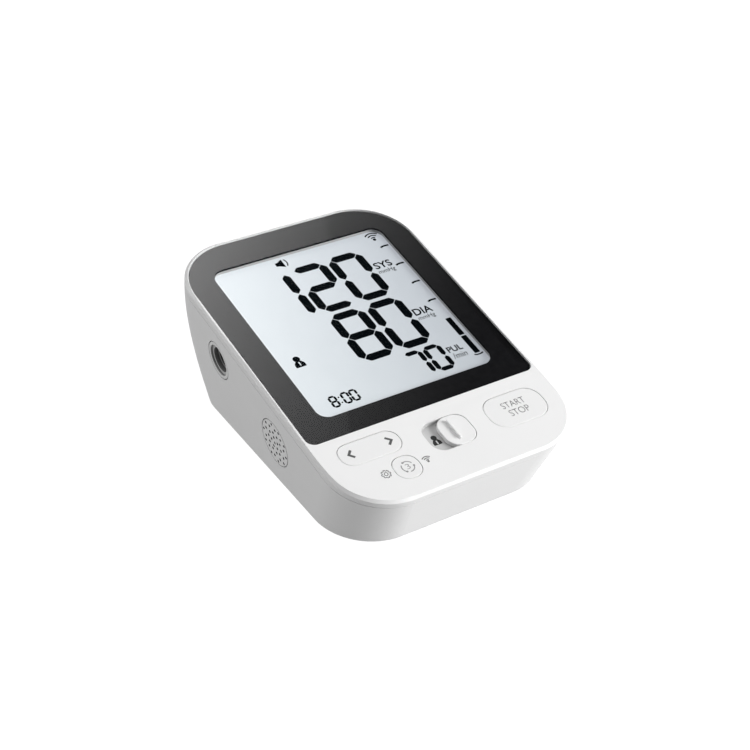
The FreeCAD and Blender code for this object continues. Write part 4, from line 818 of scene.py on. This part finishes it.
# Settings mark: a gear outline with a ring inside.
GEAR_AT = (-31.0, -21.8)
GEAR_TEETH = 8
TOOTH = ((-14.0, 1.4), (-9.0, 1.78), (9.0, 1.78), (14.0, 1.4))
marks = Flat("print_marks", TOP)
gear = []
for tooth in range(GEAR_TEETH):
    middle = tooth * 360.0 / GEAR_TEETH
    for turn, reach in TOOTH:
        gear += arc(*GEAR_AT, reach, middle + turn, middle + turn, 1)[:1]
marks.band(gear, 0.28, closed=True)
marks.band(arc(*GEAR_AT, 0.68, 0.0, 360.0, 20)[:-1], 0.3, closed=True)
marks.finish(mark_ink, "case")

radio = Flat("print_waves", TOP)
waves(radio, -14.2, -22.9, 2.3, 0.4)
radio.finish(mark_ink, "case")

users = Flat("print_users", RECESS_FLOOR)
for u in (-5.1, 6.5):
    person(users, u, -16.4, 1.5)
users.finish(icon_ink, "case")
floor_cut = Flat("print_user_number", RECESS_FLOOR + PRINT_THICKNESS)
floor_cut.shape([(-5.3, -16.1), (-4.85, -16.1), (-4.85, -14.4), (-5.3, -14.5)], 0.04)
floor_cut.finish(print_ink("ink_light", (0.6, 0.6, 0.6)), "case")

# ------------------------------------------------------------ floor and lights
FLOOR_GLOW = 0.46        # what the floor gives the object; the camera sees it white
FLOOR_HALF = 6.0
floor_mesh = bpy.data.meshes.new("floor")
floor_bm = bmesh.new()
bmesh.ops.create_grid(floor_bm, x_segments=4, y_segments=4, size=FLOOR_HALF)
floor_bm.to_mesh(floor_mesh)
floor_bm.free()
floor = bpy.data.objects.new("floor", floor_mesh)
bpy.context.scene.collection.objects.link(floor)
floor_surface = Surface("floor", (0.12, 0.12, 0.12), 1.0, Specular_IOR_Level=0.0)
floor_surface.shader.inputs["Emission Color"].default_value = (1.0, 1.0, 1.0, 1.0)
seen = floor_surface.node("ShaderNodeLightPath").outputs["Is Camera Ray"]
glow = floor_surface.ranged(seen, FLOOR_GLOW, 1.0, 0.0, 1.0)
floor_surface.link(glow, floor_surface.shader.inputs["Emission Strength"])
floor_mesh.materials.append(floor_surface.material)
floor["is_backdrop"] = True


MIDDLE = Vector((0.0, 0.0, 0.03))
# Soft boxes that face the middle: name, place, width, height, radiance of the face.
SOFT_BOXES = (
    ("top_box", (-0.6, 0.1, 1.4), 1.4, 1.4, 1.4),
    ("key_box", (0.95, -1.0, 0.52), 0.9, 0.7, 14.4),
    ("back_box", (-1.1, 1.1, 0.7), 0.9, 0.7, 3.0),
)
for name, place, width, height, radiance in SOFT_BOXES:
    lamp = bpy.data.lights.new(name, "AREA")
    lamp.shape = "RECTANGLE"
    lamp.size = width
    lamp.size_y = height
    lamp.energy = radiance * math.pi * width * height
    holder = bpy.data.objects.new(name, lamp)
    holder.location = place
    turn = (MIDDLE - Vector(place)).to_track_quat("-Z", "Y")
    holder.rotation_euler = turn.to_matrix().to_euler()
    holder.visible_camera = False
    bpy.context.scene.collection.objects.link(holder)

# The backdrop is white to the camera, and lights the object by AMBIENT only.
AMBIENT = 0.06
world = bpy.data.worlds.new("studio")
world.use_nodes = True
world.node_tree.nodes["Background"].inputs["Color"].default_value = (1.0, 1.0, 1.0, 1.0)
backdrop = world.node_tree.nodes["Background"].inputs["Strength"]
camera_ray = world.node_tree.nodes.new("ShaderNodeLightPath").outputs["Is Camera Ray"]
strength = calc(world.node_tree, "MULTIPLY_ADD", camera_ray, 1.0 - AMBIENT, AMBIENT)
world.node_tree.links.new(strength, backdrop)
bpy.context.scene.world = world

# The sheen card hangs over the back right of the panel, parallel to it, and is
# mirrored in the lens: bright at its left and back, dark towards the right. Its level
# slopes with the card's own coordinates, 0 to 1, and drops past a slanting line.
CARD_AT = (400.0, 600.0, 600.0)
CARD_SIZE = (0.62, 0.75)
CARD_CORNER_LEVEL = 1.143
CARD_SLOPE_ACROSS = -2.886
CARD_SLOPE_BACK = 2.83
CARD_LINE_SLANT = 0.61
CARD_LINE_AT = 0.208
CARD_DROP = -0.133
CARD_LOWEST = 0.11
CARD_HIGHEST = 2.0
card = bpy.data.lights.new("sheen_card", "AREA")
card.shape = "RECTANGLE"
card.size, card.size_y = CARD_SIZE
card.energy = math.pi * card.size * card.size_y
card.use_nodes = True
card_nodes = card.node_tree.nodes
card_links = card.node_tree.links
geometry = card_nodes.new("ShaderNodeNewGeometry")
split = card_nodes.new("ShaderNodeSeparateXYZ")
card_links.new(geometry.outputs["Parametric"], split.inputs["Vector"])


def on_card(operation, *values):
    return calc(card.node_tree, operation, *values)


across = on_card("MULTIPLY", split.outputs["X"], CARD_SLOPE_ACROSS)
back = on_card("MULTIPLY", split.outputs["Y"], CARD_SLOPE_BACK)
slope = on_card("ADD", on_card("ADD", across, back), CARD_CORNER_LEVEL)
slant = on_card("MULTIPLY", split.outputs["Y"], CARD_LINE_SLANT)
line = on_card("SUBTRACT", split.outputs["X"], slant)
drop = on_card("MULTIPLY", on_card("GREATER_THAN", line, CARD_LINE_AT), CARD_DROP)
level = on_card("MAXIMUM", on_card("ADD", slope, drop), CARD_LOWEST)
level = on_card("MINIMUM", level, CARD_HIGHEST)
card_links.new(on_card("MULTIPLY", level, level), card_nodes["Emission"].inputs["Strength"])
card_holder = bpy.data.objects.new("sheen_card", card)
card_holder.matrix_world = (Matrix.Translation(PANEL @ Vector(CARD_AT))
                            @ Matrix.Rotation(PANEL_TILT, 4, "X"))
card_holder.visible_camera = False
bpy.context.scene.collection.objects.link(card_holder)

# --------------------------------------------------------------------- camera
CAMERA_PLACE = Vector((-0.27570, -0.415665, 0.36087))
CAMERA_AIM = Vector((-0.009336, -0.018521, 0.04))
CAMERA_ROLL = math.radians(1.9075)
camera_data = bpy.data.cameras.new("camera")
camera_data.lens = 76.36
camera_data.sensor_width = 36.0
camera = bpy.data.objects.new("camera", camera_data)
aimed = (CAMERA_AIM - CAMERA_PLACE).to_track_quat("-Z", "Y").to_matrix().to_4x4()
camera.matrix_world = (Matrix.Translation(CAMERA_PLACE) @ aimed
                       @ Matrix.Rotation(CAMERA_ROLL, 4, "Z"))
bpy.context.scene.collection.objects.link(camera)
bpy.context.scene.camera = camera
bpy.context.scene.view_settings.view_transform = "Standard"

low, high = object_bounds()
